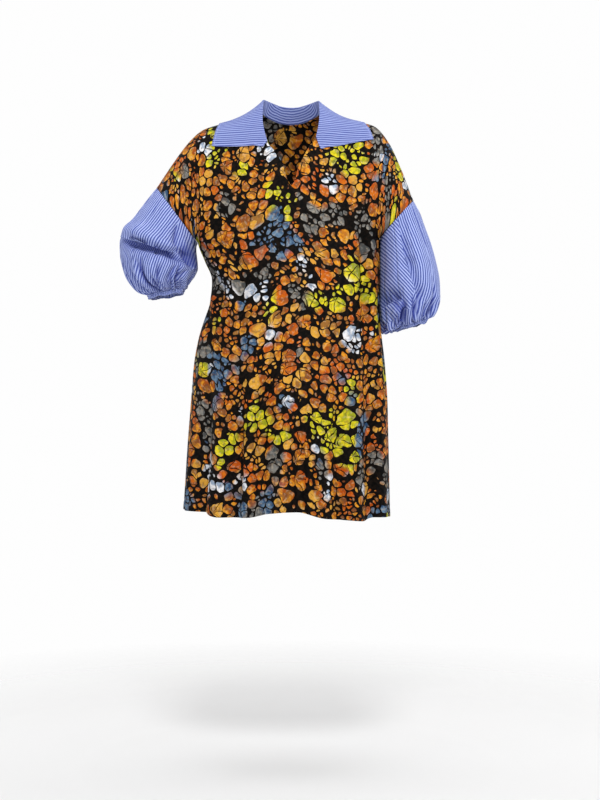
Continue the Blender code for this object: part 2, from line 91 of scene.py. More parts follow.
# Gathers above the cuff: large waves, then tucks as count, least and added reach, least and added depth
GATHERS = 12
TUCKS = ((17, 0.17, 0.31, 0.0070, 0.0094), (44, 0.05, 0.14, 0.0019, 0.0031))

# Flat size in metres, area of the whole cut in square metres, and how the cloth is held
PANEL_SHEET = ((0.80, 1.01), 0.60, "hung")
SLEEVE_SHEET = ((0.62, 0.30), 0.16, "gathered")
CUFF_SHEET = ((0.56, 0.013), None, "gathered")
COLLAR_SHEET = ((0.62, 0.16), 0.07, "folded")

# Stripes in metres: how wide a pair is, and how far it sways
STRIPE_PERIOD = 0.0058
STRIPE_SWAY = 0.0022
COLLAR_PERIOD = 0.0059
COLLAR_SWAY = 0.0040
COLLAR_SOFTEN = 0.14

# How far the flat cloth is measured as the front view shows it
PANEL_FACING = 0.35
SLEEVE_FACING = 0.30

# Pebbles of the print in metres, and the chance number above which one stays whole
PEBBLE_LARGE = 0.035
PEBBLE_MIDDLE = 0.021
PEBBLE_SMALL = 0.0125
PEBBLE_GAP = 0.0051
PEBBLE_EDGE = 0.0003
PEBBLE_RIM = 0.0032
WHOLE_LARGE = 0.74
WHOLE_MIDDLE = 0.38

# Colours of the print: darker and lighter shade of each
GROUND = ((0.0012, 0.0010, 0.0008), (0.0070, 0.0040, 0.0025))
WARM = ((0.36, 0.078, 0.008), (0.78, 0.310, 0.018))
LIME = ((0.34, 0.36, 0.016), (0.78, 0.64, 0.014))
SLATE = ((0.028, 0.070, 0.150), (0.13, 0.22, 0.33))
GREY = ((0.075, 0.080, 0.080), (0.24, 0.23, 0.21))
PALE = ((0.30, 0.38, 0.50), (0.84, 0.84, 0.86))
BROWN = (0.20, 0.070, 0.024)

# Patches of other warm shades: colour, place of the noise, its limit and how much shows
WARM_PATCHES = (((0.56, 0.085, 0.004), 23.1, 0.52, 0.70), ((0.74, 0.40, 0.055), 29.3, 0.57, 0.75))

# Patches of the other colours: shades, place of the noise, its size and limit
PATCHES = ((GREY, 3.1, 0.085, 0.608), (LIME, 7.3, 0.100, 0.628),
           (SLATE, 11.9, 0.090, 0.645), (PALE, 17.7, 0.070, 0.680))

# Shine of a cloth: its sockets
SHINE_SOCKETS = ("Roughness", "Specular IOR Level", "Sheen Weight", "Sheen Roughness")

# Stitches near the collar's edge
STITCH_INSET = 0.0045
STITCH_LENGTH = 0.0030

# Floor, as rings that lie further out and are less solid, and lights: name, place, size, power
FLOOR_LEVEL = -1.53
FLOOR_RINGS = ((0.0, 1.0), (0.5, 1.0), (0.9, 0.75), (1.3, 0.30), (1.8, 0.0))
LIGHTS = (
    ("key", (0.15, -2.7, 1.9), 1.0, 66.0),
    ("fill", (2.1, -2.6, 0.5), 2.0, 20.0),
    ("top", (0.0, 0.3, 2.6), 2.4, 44.0),
    ("back_left", (-2.4, 1.0, 1.2), 1.6, 16.0),
    ("back_right", (2.4, 1.0, 1.2), 1.6, 16.0),
)


def thousandths(*rows):
    """A table whose rows are written in thousandths."""
    return np.array(rows) / 1000.0


# Shoulder seam from the right tip over the neck to the left tip: share, across, height
SHOULDER_LINE = thousandths(
    (-1000, -317.6, -166), (-823, -272.5, -99.5), (-704, -239, -57), (-608, -206, -30), (-502, -159, -16),
    (-384, -107, -1), (-300, -70, 12), (0, 0, 22), (300, 70, 12), (384, 107, -1), (502, 162, -13),
    (575, 196.7, -22.5), (681, 229.9, -59.3), (810, 257, -114), (1000, 290, -197),
)

# Level rings of the body: drop, right edge, left edge, front depth, back depth, squareness
RIGHT_EDGE, LEFT_EDGE, FRONT_DEPTH, BACK_DEPTH, SQUARENESS = range(1, 6)
BODY_RINGS = thousandths(
    (285, -221.5, 209.5, 124, 108, 740), (296, -220.4, 209.5, 125, 108, 740),
    (340, -204, 209.3, 129, 111, 780), (385, -187, 209.3, 132, 114, 820), (430, -190, 209.5, 135, 117, 850),
    (484, -207, 211, 139, 121, 870), (520, -218, 215, 142, 125, 880), (580, -229, 222, 147, 132, 900),
    (660, -236, 227.5, 153, 141, 920), (740, -242, 230, 159, 149, 940), (820, -247.7, 232, 164, 156, 950),
    (950, -256, 234.6, 170, 164, 960),
)

# Hem line, dipping where the folds swing out: share, drop in front, drop behind
HEM_LINE = thousandths(
    (-1000, 924, 924), (-570, 927, 934), (-420, 936, 940), (-220, 934, 936), (-120, 927, 933),
    (0, 922, 938), (80, 923, 942), (220, 936, 944), (420, 943, 940), (550, 946, 944), (640, 939, 947),
    (1000, 943, 943),
)

# Hanging folds: drop and share of the upper end and of the lower one, depth (plus for a ridge, minus
# for a trough), width, and 1 where the fold runs out before the hem
FRONT_FOLDS = thousandths(
    (100, 580, 620, 630, -13, 60, 1), (140, 740, 1000, 740, 10, 70, 0), (450, 600, 1000, 580, -14, 60, 0),
    (500, 460, 1000, 460, 10, 55, 0), (520, 340, 1000, 340, -13, 55, 0), (580, 220, 1000, 220, 9, 55, 0),
    (600, 90, 1000, 80, -12, 50, 0), (500, -20, 1000, -30, 7, 50, 0), (460, -140, 1000, -140, -14, 50, 0),
    (500, -230, 1000, -240, 10, 50, 0), (260, -470, 600, -360, -11, 55, 1),
    (460, -350, 1000, -340, -14, 55, 0), (480, -470, 1000, -470, 10, 55, 0),
    (520, -600, 1000, -600, -13, 60, 0), (340, -800, 520, -560, -10, 60, 1),
    (560, -760, 1000, -780, 8, 70, 0),
)
BACK_FOLDS = thousandths(
    (120, -600, 1000, -620, -13, 65, 0), (400, -450, 1000, -450, 11, 60, 0),
    (340, -260, 1000, -290, -14, 65, 0), (440, -100, 1000, -120, 11, 60, 0),
    (380, 60, 1000, 50, -14, 65, 0), (460, 220, 1000, 220, 11, 60, 0), (320, 400, 1000, 380, -13, 65, 0),
    (440, 550, 1000, 540, 10, 60, 0), (120, 660, 1000, 700, -12, 65, 0),
)
FOLDS = {FRONT: FRONT_FOLDS, BACK: BACK_FOLDS}

# Sharper folds on top of the hanging ones, with the same columns
FRONT_SHARP_FOLDS = thousandths(
    (120, 600, 600, 645, -7, 24, 1), (160, 680, 560, 710, 4, 30, 1), (500, 620, 1000, 620, -6, 24, 0),
    (620, 680, 1000, 700, 4, 30, 0), (600, 410, 920, 420, -4, 24, 1), (560, 330, 1000, 340, -5, 26, 0),
    (640, 80, 1000, 80, -5, 24, 0), (440, -165, 920, -165, -6, 24, 1), (520, -120, 1000, -130, 4, 32, 0),
    (600, -300, 1000, -300, -5, 24, 0), (240, -500, 520, -420, -5, 26, 1),
    (620, -580, 1000, -600, -5, 28, 0), (720, -820, 1000, -840, -4, 26, 0),
)
BACK_SHARP_FOLDS = thousandths(
    (100, -630, 700, -620, -5, 26, 1), (460, -520, 1000, -540, -4, 28, 0),
    (420, -300, 1000, -300, -6, 26, 0), (520, -20, 1000, 0, 4, 32, 0), (480, 80, 1000, 70, -5, 26, 0),
    (400, 360, 1000, 360, -5, 26, 0), (550, 620, 1000, 640, -4, 26, 0), (120, 680, 660, 700, -5, 26, 1),
)
SHARP_FOLDS = {FRONT: FRONT_SHARP_FOLDS, BACK: BACK_SHARP_FOLDS}

# Short creases of the panels: share and drop of both ends, depth, width
FRONT_CREASES = thousandths(
    (-930, 290, -550, 345, -3.5, 11), (-930, 320, -600, 395, 2.5, 12), (-960, 400, -550, 410, -4.5, 12),
    (-960, 425, -480, 475, 3, 13), (-900, 450, -500, 545, -4, 12), (930, 285, 550, 235, -3, 11),
    (930, 300, 620, 370, -3, 12), (-200, 120, -620, 250, -1.8, 16), (220, 115, 580, 230, -1.8, 16),
    (-30, 200, -100, 350, -1.8, 14), (50, 210, 160, 370, 1.6, 16),
)
BACK_CREASES = thousandths(
    (-920, 290, -500, 250, -3, 12), (920, 285, 500, 240, -3, 12), (-300, 130, 0, 180, -1.8, 16),
    (300, 130, 20, 185, -1.8, 16),
)
PANEL_CREASES = {FRONT: FRONT_CREASES, BACK: BACK_CREASES}

# V neck edge from each shoulder to the point of the V: across, drop
NECK_RIGHT = thousandths(
    (-66.5, 25), (-61, 53), (-54.1, 74.3), (-37.8, 94), (-23.2, 116.1), (-13.2, 142.9), (-5.3, 170),
)
NECK_LEFT = thousandths(
    (67, 21), (63, 45), (58.4, 64.4), (43, 83), (29, 109.6), (16, 138), (8.5, 166.6),
)
V_POINT = (0.0010, 0.1783)

# Sleeve rings: run, across and drop of the outer and of the inner end, depth to the front and back
BENT_SLEEVE = thousandths(
    (0, -317.6, 166, -220.4, 296, 78, 70), (120, -343.7, 200.3, -224, 305.7, 86, 78),
    (250, -369.7, 234.6, -224.5, 316, 95, 87), (370, -393.4, 265.4, -223.5, 327, 103, 95),
    (500, -406.2, 296.3, -221.5, 340, 108, 100), (620, -404.1, 329.4, -220.5, 356, 110, 102),
    (750, -393.4, 369.7, -227.5, 373, 104, 98), (860, -372.1, 399.3, -238.2, 387, 90, 86),
    (940, -351.9, 413.6, -245.3, 398.5, 68, 66), (1000, -334.2, 417, -253.6, 403.5, 46, 46),
)
HANGING_SLEEVE = thousandths(
    (0, 290, 197, 209.5, 285, 78, 70), (120, 305.7, 229.9, 210.4, 306, 82, 74),
    (250, 318.5, 264.3, 210.5, 330, 87, 79), (370, 331, 299, 210.6, 356, 92, 84),
    (500, 342, 339, 210.6, 388, 97, 89), (620, 351, 383, 210.8, 418, 100, 92),
    (750, 354, 423, 211.8, 454, 98, 90), (860, 348, 449, 215, 490, 88, 82),
    (940, 337, 468, 221.5, 509, 70, 66), (1000, 321, 474, 238, 496, 46, 46),
)

# Large creases of the sleeves: run and turn of both ends, depth, width
BENT_CREASES = thousandths(
    (460, 150, 500, 420, -13, 50), (360, 100, 380, 380, 8, 65), (120, 400, 600, 360, -8, 50),
    (300, 620, 620, 800, -10, 60),
)
HANGING_CREASES = thousandths(
    (50, 240, 450, 270, -8, 45), (450, 270, 880, 160, -8, 45), (780, 460, 800, 300, 8, 60),
    (200, 700, 800, 760, -9, 60),
)

# Narrow creases of the sleeves, with the same columns
BENT_FINE = thousandths(
    (380, 360, 660, 440, -15, 30), (40, 295, 440, 350, -9, 20), (100, 355, 420, 400, 4, 30),
    (880, 75, 620, 45, -6, 16), (920, 120, 660, 110, -7, 13), (930, 170, 600, 190, -10, 13),
    (920, 235, 660, 275, -10, 12), (920, 290, 620, 350, -9, 13), (900, 345, 700, 405, -8, 13),
    (900, 205, 640, 235, 5, 16), (900, 145, 660, 150, 4, 16), (560, 90, 720, 150, -4, 16),
    (540, 210, 680, 215, -4, 16), (200, 80, 400, 120, -2, 20), (200, 600, 550, 660, -6, 26),
    (300, 860, 600, 900, -5.5, 24), (550, 720, 880, 740, -7, 16), (920, 580, 660, 600, -7, 15),
    (920, 660, 720, 670, -6, 13), (920, 840, 660, 820, -7, 15), (900, 920, 700, 935, -6, 14),
)
HANGING_FINE = thousandths(
    (40, 100, 620, 90, -3, 20), (300, 330, 720, 340, -2.5, 20), (620, 400, 860, 290, -9, 15),
    (740, 460, 940, 400, 4.5, 18), (660, 205, 930, 235, -10, 13), (760, 160, 940, 180, -8, 12),
    (780, 95, 940, 125, -7, 13), (800, 40, 940, 70, -6, 13), (820, 355, 950, 330, -9, 12),
    (740, 298, 950, 303, -13, 13), (820, 390, 950, 350, -8, 12), (700, 265, 920, 205, -7, 11),
    (600, 140, 840, 165, 4, 20), (100, 640, 600, 660, -5.5, 24), (350, 860, 800, 840, -5.5, 22),
    (920, 600, 680, 620, -7, 15), (920, 700, 740, 705, -6, 13), (920, 780, 660, 800, -7, 15),
    (920, 900, 740, 910, -6, 13),
)

# Folds that lap over the cloth below: path as run and turn, rise, fall, lap, reach, and how strong the
# painted shade under the fold is
BENT_LAPS = (
    (((0.448, 0.00), (0.450, 0.08), (0.453, 0.169), (0.450, 0.244), (0.460, 0.306), (0.510, 0.350),
      (0.63, 0.401)),
     0.0060, 0.0150, 0.0068, 0.027, 0.90),
)
HANGING_LAPS = (
    (((0.07, 0.265), (0.22, 0.275), (0.38, 0.275), (0.55, 0.255), (0.70, 0.235), (0.82, 0.215)),
     0.0040, 0.0100, 0.0045, 0.022, 0.15),
    (((0.76, 0.48), (0.72, 0.42), (0.70, 0.36), (0.74, 0.31)),
     0.0060, 0.0120, 0.0070, 0.022, 0.70),
)

# Inner front of a sleeve: its border as run and turn, the way across its stripes (x and z), and how much
# painted shade darkens it where it turns toward the body
BENT_INNER = (
    ((0.0, 0.292), (0.20, 0.312), (0.46, 0.345), (0.56, 0.38), (0.66, 0.44), (0.74, 0.50)),
    (0.96, -0.28), 0.95,
)
HANGING_INNER = (
    ((0.0, 0.265), (0.38, 0.275), (0.62, 0.245), (0.80, 0.26), (0.92, 0.50)),
    (0.76, 0.65), 0.0,
)

# Collar: station, share and run of its outer edge, how high it stands above the neck edge
COLLAR_SECTIONS = thousandths(
    (0, -560, 500, 4), (60, -545, 400, 7), (140, -525, 230, 13), (240, -505, 0, 25), (340, -440, -300, 36),
    (420, -230, -480, 42), (500, 0, -530, 44), (580, 230, -480, 42), (660, 440, -300, 36),
    (760, 500, 0, 25), (860, 525, 210, 13), (940, 552, 350, 7), (1000, 574, 440, 4),
)


def ease(low, high, value):
    """Rise gently from nought to one between two values, or fall where the first is the greater."""
    part = np.clip((np.asarray(value, float) - low) / (high - low), 0.0, 1.0)
    return part * part * (3.0 - 2.0 * part)


def bell(distance, width):
    """One at nought, falling off softly over a width."""
    return np.exp(-((distance / width) ** 2))


def cusp(distance, width):
    """One at nought, falling off from a sharp tip over a width."""
    return np.exp(0.3 - np.sqrt(1.6 * (distance / width) ** 2 + 0.09))


def unit(vectors):
    """The same directions with length one."""
    return vectors / (np.linalg.norm(vectors, axis=-1, keepdims=True) + 1e-12)


def running(steps, axis=0):
    """Running total of steps along an axis, from nought."""
    return np.concatenate([0.0 * np.take(steps, [0], axis), np.cumsum(steps, axis=axis)], axis=axis)


def path_length(points):
    """Distance along a row of points, from the first."""
    return running(np.linalg.norm(np.diff(points, axis=0), axis=-1))


def smooth_value(rows, column, place):
    """Read one column of a table at any place along its first column."""
    keys = rows[:, 0]
    values = rows[:, column]
    steps = np.diff(keys)
    rises = np.diff(values) / steps
    slopes = np.zeros(len(keys))
    slopes[0] = rises[0]
    slopes[-1] = rises[-1]
    product = rises[:-1] * rises[1:]
    total = np.where(product > 0, rises[:-1] + rises[1:], 1.0)
    slopes[1:-1] = np.where(product > 0, 2.0 * product / total, 0.0)
    place = np.clip(np.asarray(place, float), keys[0], keys[-1])
    low = np.clip(np.searchsorted(keys, place) - 1, 0, len(keys) - 2)
    part = (place - keys[low]) / steps[low]
    rest = 1.0 - part
    start = values[low] * (1.0 + 2.0 * part) * rest ** 2
    end = values[low + 1] * (3.0 - 2.0 * part) * part ** 2
    lean = steps[low] * part * rest * (slopes[low] * rest - slopes[low + 1] * part)
    return start + end + lean


def read_grid(grid, row, column):
    """Blend the four values of a grid round each place."""
    top = np.minimum(row.astype(int), grid.shape[0] - 2)
    left = np.minimum(column.astype(int), grid.shape[1] - 2)
    down = row - top
    aside = column - left
    upper = grid[top, left] * (1.0 - aside) + grid[top, left + 1] * aside
    lower = grid[top + 1, left] * (1.0 - aside) + grid[top + 1, left + 1] * aside
    return upper * (1.0 - down) + lower * down


def beside_line(x, y, start, end):
    """Part along a line, the distance from it and the side of it."""
    way_x = end[0] - start[0]
    way_y = end[1] - start[1]
    along = ((x - start[0]) * way_x + (y - start[1]) * way_y) / (way_x ** 2 + way_y ** 2)
    held = np.clip(along, 0.0, 1.0)
    off_x = x - start[0] - way_x * held
    off_y = y - start[1] - way_y * held
    return along, np.hypot(off_x, off_y), np.sign(off_x * way_y - off_y * way_x)


def crease_push(creases, x, y, scale, profile, ends=None):
    """How far creases push the cloth out at places, fading toward their ends where that is asked."""
    total = 0.0
    for crease in creases:
        start, end = crease[:4].reshape(2, 2) * scale
        along, distance, _ = beside_line(x * scale[0], y * scale[1], start, end)
        taper = np.sin(math.pi * np.clip(along * ends[0] + ends[1], 0.0, 1.0)) if ends else 1.0
        total = total + crease[4] * profile(distance, crease[5] * scale[1]) * taper
    return total


def push_out(grid, amount, closed, sign):
    """Move each point of a grid along its surface's outward direction."""
    if closed:
        across = np.roll(grid, -1, axis=1) - np.roll(grid, 1, axis=1)
    else:
        across = np.gradient(grid, axis=1)
    normal = unit(np.cross(across, np.gradient(grid, axis=0)) * sign)
    return grid + normal * np.asarray(amount)[..., None]


def soft_waves(across, down, seed, size):
    """Faint uneven waves of limp cloth."""
    total = np.zeros(np.broadcast(across, down).shape)
    for index in range(6):
        turn = seed * 1.7 + index * 2.1
        pitch = 0.045 + 0.017 * index
        way = math.sin(turn) * across + 0.45 * math.cos(turn) * down
        total = total + np.sin(2.0 * math.pi * way / pitch + turn * 3.0)
    return total * size / 3.0


def cloth_length(step, facing):
    """Length of steps, in part as the front view shows them, so a pattern looks even there."""
    seen = np.hypot(step[..., 0], step[..., 2])
    return np.linalg.norm(step, axis=-1) * (1.0 - facing) + seen * facing


def face_corners(left, right):
    """Values at each face's corners, from those along its left and right sides."""
    return np.stack([left[:-1], right[:-1], right[1:], left[1:]], axis=2)


def fold_offset(folds, share, drop):
    """How far hanging folds push the cloth out at a spot on a panel."""
    total = np.zeros(np.broadcast(share, drop).shape)
    for top_drop, top_share, low_drop, low_share, depth, width, runs_out in folds:
        along = (drop - top_drop) / (low_drop - top_drop)
        centre = top_share + (low_share - top_share) * along
        reach = ease(0.0, 0.55, along)
        if runs_out:
            reach = reach * ease(1.0, 0.6, along)
        total = total + depth * bell(share - centre, width) * reach
    return total * (1.0 - np.abs(share) ** 8)


def panel(side, share, run):
    """Point on the front or back.

    share goes from -1 at the right side seam to 1 at the left one.
    run is 0 at the shoulder seam, 1 at the underarm level and 2 at the hem.
    """
    share = np.asarray(share, float)
    run = np.asarray(run, float)
    front = side == FRONT
    upper = np.clip(run, 0.0, 1.0)
    lower = np.clip(run - 1.0, 0.0, 1.0)
    top_drop = UNDERARM_DROP - UNDERARM_TILT * share
    drop = top_drop + (smooth_value(HEM_LINE, 1 if front else 2, share) - top_drop) * lower
    right = smooth_value(BODY_RINGS, RIGHT_EDGE, drop)
    left = smooth_value(BODY_RINGS, LEFT_EDGE, drop)
    depth = smooth_value(BODY_RINGS, FRONT_DEPTH if front else BACK_DEPTH, drop)
    middle = (left + right) / 2.0
    half = (left - right) / 2.0
    angle = share * math.pi / 2.0
    fullness = np.clip(np.cos(angle), 0.0, 1.0) ** smooth_value(BODY_RINGS, SQUARENESS, drop)
    ring_x = middle + half * np.sin(angle)
    seam_x = smooth_value(SHOULDER_LINE, 1, share)
    seam_z = smooth_value(SHOULDER_LINE, 2, share)
    edge = ease(0.55, 1.0, np.abs(share))
    open_way = np.clip(1.0 - np.cos(upper * math.pi / 2.0), 0.0, 1.0) ** SHOULDER_ROUNDING
    edge_way = (1.0 - np.cos(upper * math.pi)) / 2.0
    way = open_way * (1.0 - edge) + edge_way * edge
    x = seam_x + (ring_x - seam_x) * way
    z = seam_z + (-drop - seam_z) * way
    swell = (ARMHOLE_FRONT if front else ARMHOLE_BACK) * np.sin(upper * math.pi) * (1.0 - fullness)
    y = side * (swell + depth * fullness * np.sin(upper * math.pi / 2.0))
    push_x = (x - middle) / half ** 2
    push_y = y / depth ** 2
    push = fold_offset(FOLDS[side], share, -z) * ease(0.15, 0.6, upper) / (np.hypot(push_x, push_y) + 1e-9)
    return np.stack([x + push_x * push, y + push_y * push, z], axis=-1)


def panel_normal(side, share, run):
    """Outward direction of a panel at a spot."""
    step = 0.004
    across = panel(side, share + step, run) - panel(side, share - step, run)
    down = panel(side, share, run + step) - panel(side, share, np.maximum(run - step, 0.0))
    return unit(np.cross(across, down) * side)


def signed_panel(share, run):
    """Panel point where a minus run means the back."""
    front = panel(FRONT, share, np.maximum(run, 0.0))
    back = panel(BACK, share, np.maximum(-run, 0.0))
    return np.where((np.asarray(run) >= 0.0)[..., None], front, back)


def signed_normal(share, run):
    """Outward direction where a minus run means the back."""
    front = panel_normal(FRONT, share, np.maximum(run, 0.004))
    back = panel_normal(BACK, share, np.maximum(-run, 0.004))
    blend = (0.5 + 0.5 * np.clip(np.asarray(run) / 0.06, -1.0, 1.0))[..., None]
    return unit(front * blend + back * (1.0 - blend))


def halve(low, high, rounds, is_low):
    """Close in on the value where a test turns false."""
    for _ in range(rounds):
        middle = (low + high) / 2.0
        low, high = (middle, high) if is_low(middle) else (low, middle)
    return middle


def find_spot(across, drop):
    """Share and run of the front's spot seen at a place in the front view."""
    def level(share):
        return halve(0.0, 1.0, 24, lambda run: -panel(FRONT, share, run)[2] < drop)

    share = halve(-0.95, 0.95, 28, lambda share: panel(FRONT, share, level(share))[0] < across)
    return share, level(share)


def neck_halves():
    """Right and left half of the V neck as spots on the front, from the shoulder to its point."""
    point = find_spot(*V_POINT)
    return [[(share, 0.0)] + [find_spot(*row) for row in rows] + [point]
            for share, rows in ((-NECK_SHARE, NECK_RIGHT), (NECK_SHARE, NECK_LEFT))]


def along_path(spots, count):
    """Spots at even distances along a path drawn on the front."""
    spots = np.array(spots)
    rows = np.column_stack([path_length(panel(FRONT, spots[:, 0], spots[:, 1])), spots])
    wanted = np.linspace(0.0, rows[-1, 0], count)
    return np.stack([smooth_value(rows, 1, wanted), smooth_value(rows, 2, wanted)], axis=-1)


def back_neck(count):
    """Spots along the shallow neck curve of the back."""
    turn = np.linspace(0.0, math.pi, count)
    return np.stack([-NECK_SHARE * np.cos(turn), BACK_NECK_RUN * np.sin(turn) ** 0.85], axis=-1)


def top_edge(neck):
    """Top edge of a panel: right shoulder, neck, left shoulder."""
    share = np.linspace(1.0, NECK_SHARE, PANEL_SHOULDER_CELLS + 1)
    right, left = (np.stack([sign * share, 0.0 * share], axis=-1) for sign in (-1.0, 1.0))
    return np.concatenate([right[:-1], neck, left[::-1][1:]])


def front_neck(halves):
    """Spots along the whole V neck, right to left."""
    right, left = (along_path(half, PANEL_NECK_CELLS + 1) for half in halves)
    return np.concatenate([right, left[::-1][1:]])


def flat_panel(side, share, run):
    """Across and down distances on the flat cloth at spots of a panel."""
    columns, rows = 120, 160
    table_run = np.linspace(0.0, 2.0, rows + 1)[:, None]
    grid = panel(side, np.linspace(-1.0, 1.0, columns + 1), table_run)
    across = running(cloth_length(np.diff(grid, axis=1), PANEL_FACING), 1)
    across = across - across[:, columns // 2:columns // 2 + 1]
    down = running(np.linalg.norm(np.diff(grid, axis=0), axis=-1))
    column = np.clip((share + 1.0) * columns / 2.0, 0.0, columns - 0.001)
    row = np.clip(run * rows / 2.0, 0.0, rows - 0.001)
    return np.stack([read_grid(table, row, column) for table in (across, down[-1:] - down)], axis=-1)


def panel_shell(side, top_spots):
    """Fine grid of a panel and its flat coordinates."""
    columns = len(top_spots)
    low_share = np.linspace(-1.0, 1.0, columns)
    low_share = np.sign(low_share) * (1.0 - (1.0 - np.abs(low_share)) ** 1.06)
    part = (np.linspace(0.0, 1.0, PANEL_TOP_ROWS + 1) ** 1.15)[:, None]
    top_share, top_run = top_spots.T[:, None, :]
    share = top_share + (low_share[None, :] - top_share) * ease(0.0, 1.0, part)
    run = top_run + (1.0 - top_run) * part
    lower = np.linspace(0.0, 1.0, PANEL_SKIRT_ROWS + 1)[1:, None]
    share = np.concatenate([share, np.repeat(low_share[None, :], PANEL_SKIRT_ROWS, axis=0)])
    run = np.concatenate([run, np.repeat(1.0 + lower, columns, axis=1)])
    edge = panel(side, share, run)
    drop = -edge[..., 2]
    seam = (1.0 - np.abs(share)) * 0.27
    near_seam = np.clip(seam / 0.03, 0.0, 1.0)
    calm = ease(0.0, 0.25, run - top_run * (run < 1.0))
    amount = fold_offset(SHARP_FOLDS[side], share, drop) * ease(0.15, 0.6, run)
    creased = crease_push(PANEL_CREASES[side], share, drop, (0.3, 1.0), bell, (0.90, 0.08))
    amount = amount + creased * near_seam
    waves = soft_waves(share * 0.3, drop, 1.0 if side == FRONT else 2.0, 0.0008)
    amount = amount + waves * near_seam * calm
    shoulder = np.where(np.abs(share) > NECK_SHARE, run * 0.15, 1.0)
    amount = amount - SEAM_DENT * (bell(seam, SEAM_WIDTH) + bell(shoulder, SEAM_WIDTH))
    hem_gap = (2.0 - run) * 0.64
    amount = amount + HEM_STEP * ((hem_gap < HEM_DEPTH - 0.0015) - bell(hem_gap - HEM_DEPTH, 0.003))
    grid = push_out(edge, amount, False, side)
    grid = np.where(seam[..., None] < 0.0004, edge, grid)
    grid[..., 1] += side * 0.00005
    return grid, flat_panel(side, share, run)


def path_distance(path, run, turn):
    """Signed distance from a path, plus toward the cuff, and the part along it."""
    best = np.full(run.shape, 1e9)
    signed = np.zeros(run.shape)
    place = np.zeros(run.shape)
    spots = np.array(path) * SLEEVE_SIZE
    count = len(spots) - 1
    for index in range(count):
        along, distance, side = beside_line(run * SLEEVE_SIZE[0], turn * SLEEVE_SIZE[1],
                                            spots[index], spots[index + 1])
        nearer = distance < best
        best = np.where(nearer, distance, best)
        signed = np.where(nearer, distance * side, signed)
        place = np.where(nearer, (index + np.clip(along, 0.0, 1.0)) / count, place)
    return signed, place


def lap_folds(laps, run, turn):
    """Push, slide and painted shade of the folds that lap over the cloth below them."""
    push, slide, shade = np.zeros((3,) + run.shape)
    for path, rise, fall, lap, reach, painted_shade_share in laps:
        signed, place = path_distance(path, run, (turn + 0.25) % 1.0 - 0.25)
        taper = ease(0.0, 0.34, place) * ease(1.0, 0.80, place)
        near = bell(signed, reach)
        low = ease(-0.0016, 0.0016, signed)
        push = push + near * (rise * (1.0 - low) - fall * low) * taper
        # Painted shade on the cloth just below the lapping fold, fading over its reach
        shade = np.maximum(shade, painted_shade_share * near * low * taper)
        hang = lap * bell(signed, reach * 0.45)
        slide = slide + hang * (1.0 - low) * taper * ease(0.90, 0.52, place)
    return push, slide, shade


def cuff_tucks(run, turn, seed):
    """Uneven gathers that rise from the cuff: a few deep ones and many short ones."""
    total = np.zeros(run.shape)
    for count, least, most, shallow, deep in TUCKS:
        for index in range(count):
            chance = abs(math.sin(1.9 * index + seed + count)) ** 1.4
            spot = (index + 0.34 * math.sin(2.4 * index + seed)) / count
            lean = 0.09 * math.sin(1.3 * index + seed)
            gap = (turn - spot - lean * (1.0 - run) + 0.5) % 1.0 - 0.5
            rise = ease(1.0 - least - most * chance, 0.93, run)
            total = total - (shallow + deep * chance) * cusp(gap, 0.17 / count) * rise
    return total * (1.0 - 0.55 * ease(0.94, 1.0, run)) + 0.0030 * ease(0.7, 1.0, run)


def gather_wave(turn):
    """Uneven wave of the gathers round a sleeve end, from -1 to 1."""
    height = 1.0 + 0.22 * np.sin(4.0 * math.pi * turn + 0.7) + 0.16 * np.sin(10.0 * math.pi * turn)
    return np.cos(2.0 * math.pi * GATHERS * turn) * height


def sleeve_point(table, creases, run, turn):
    """Point on a sleeve.

    run goes from 0 at the armhole to 1 at the cuff.
    turn goes once round, from the outer end over the front to the inner end and back.
    """
    outer_x, outer_drop, inner_x, inner_drop, front, back = (
        smooth_value(table, column, run) for column in range(1, 7))
    angle = 2.0 * math.pi * turn
    way = (1.0 - np.cos(angle)) / 2.0
    x = outer_x + (inner_x - outer_x) * way
    y = -np.where(np.sin(angle) > 0.0, front, back) * np.sin(angle)
    z = -outer_drop + (outer_drop - inner_drop) * way
    off_x = x - (outer_x + inner_x) / 2.0
    off_z = z + (outer_drop + inner_drop) / 2.0
    size = np.sqrt(off_x ** 2 + y ** 2 + off_z ** 2) + 1e-9
    push = crease_push(creases, run, turn, (1.0, 1.0), bell)
    push = push * ease(0.02, 0.12, run) * ease(1.0, 0.9, run)
    push = push * (1.0 - 0.9 * ease(0.60, 0.95, way))
    push = (push + 0.0040 * gather_wave(turn) * ease(0.62, 0.97, run)) / size
    return np.stack([x + off_x * push, y * (1.0 + push), z + off_z * push], axis=-1)


def sleeve_axis(table):
    """Direction in which a sleeve leaves its cuff end."""
    across, down = table[-1, 3:5] - table[-1, 1:3]
    return unit(np.array([down * np.sign(across), 0.0, -abs(across)]))


def lean_on_body(grid, run):
    """Let the inner side of the hanging sleeve lie against the body, a hair clear of it."""
    levels = np.linspace(1.0, 1.45, 46)[:, None]
    share = np.linspace(0.55, 1.0, 46)[None, :]
    depths = np.linspace(-0.10, 0.09, 96)
    ring = np.concatenate([panel(FRONT, share, levels), panel(BACK, share[:, ::-1], levels)[:, 1:]], axis=1)
    level = -ring[:, 45, 2]
    out = np.array([np.interp(depths, row[:, 1], row[:, 0]) for row in ring])
    row = np.interp(-grid[..., 2], level, np.arange(len(level)))
    column = np.interp(grid[..., 1], depths, np.arange(len(depths)))
    gap = grid[..., 0] - read_grid(out, row, column) - REST_GAP
    below = ease(-0.002, 0.010, -grid[..., 2] - level[0])
    hold = ease(-0.045, 0.0, grid[..., 1]) * (1.0 - ease(0.045, 0.070, grid[..., 1]))
    hold = hold * below * ease(0.95, 0.82, run) * (gap < 0.012)
    nearer = np.where(gap > 0.0, gap * 0.78 * ease(0.012, 0.004, gap), gap)
    grid[..., 0] -= nearer * hold
    return grid


def inner_border(path, run):
    """Turn at which a sleeve's inner front begins."""
    return np.interp(run, [spot[0] for spot in path], [spot[1] for spot in path])


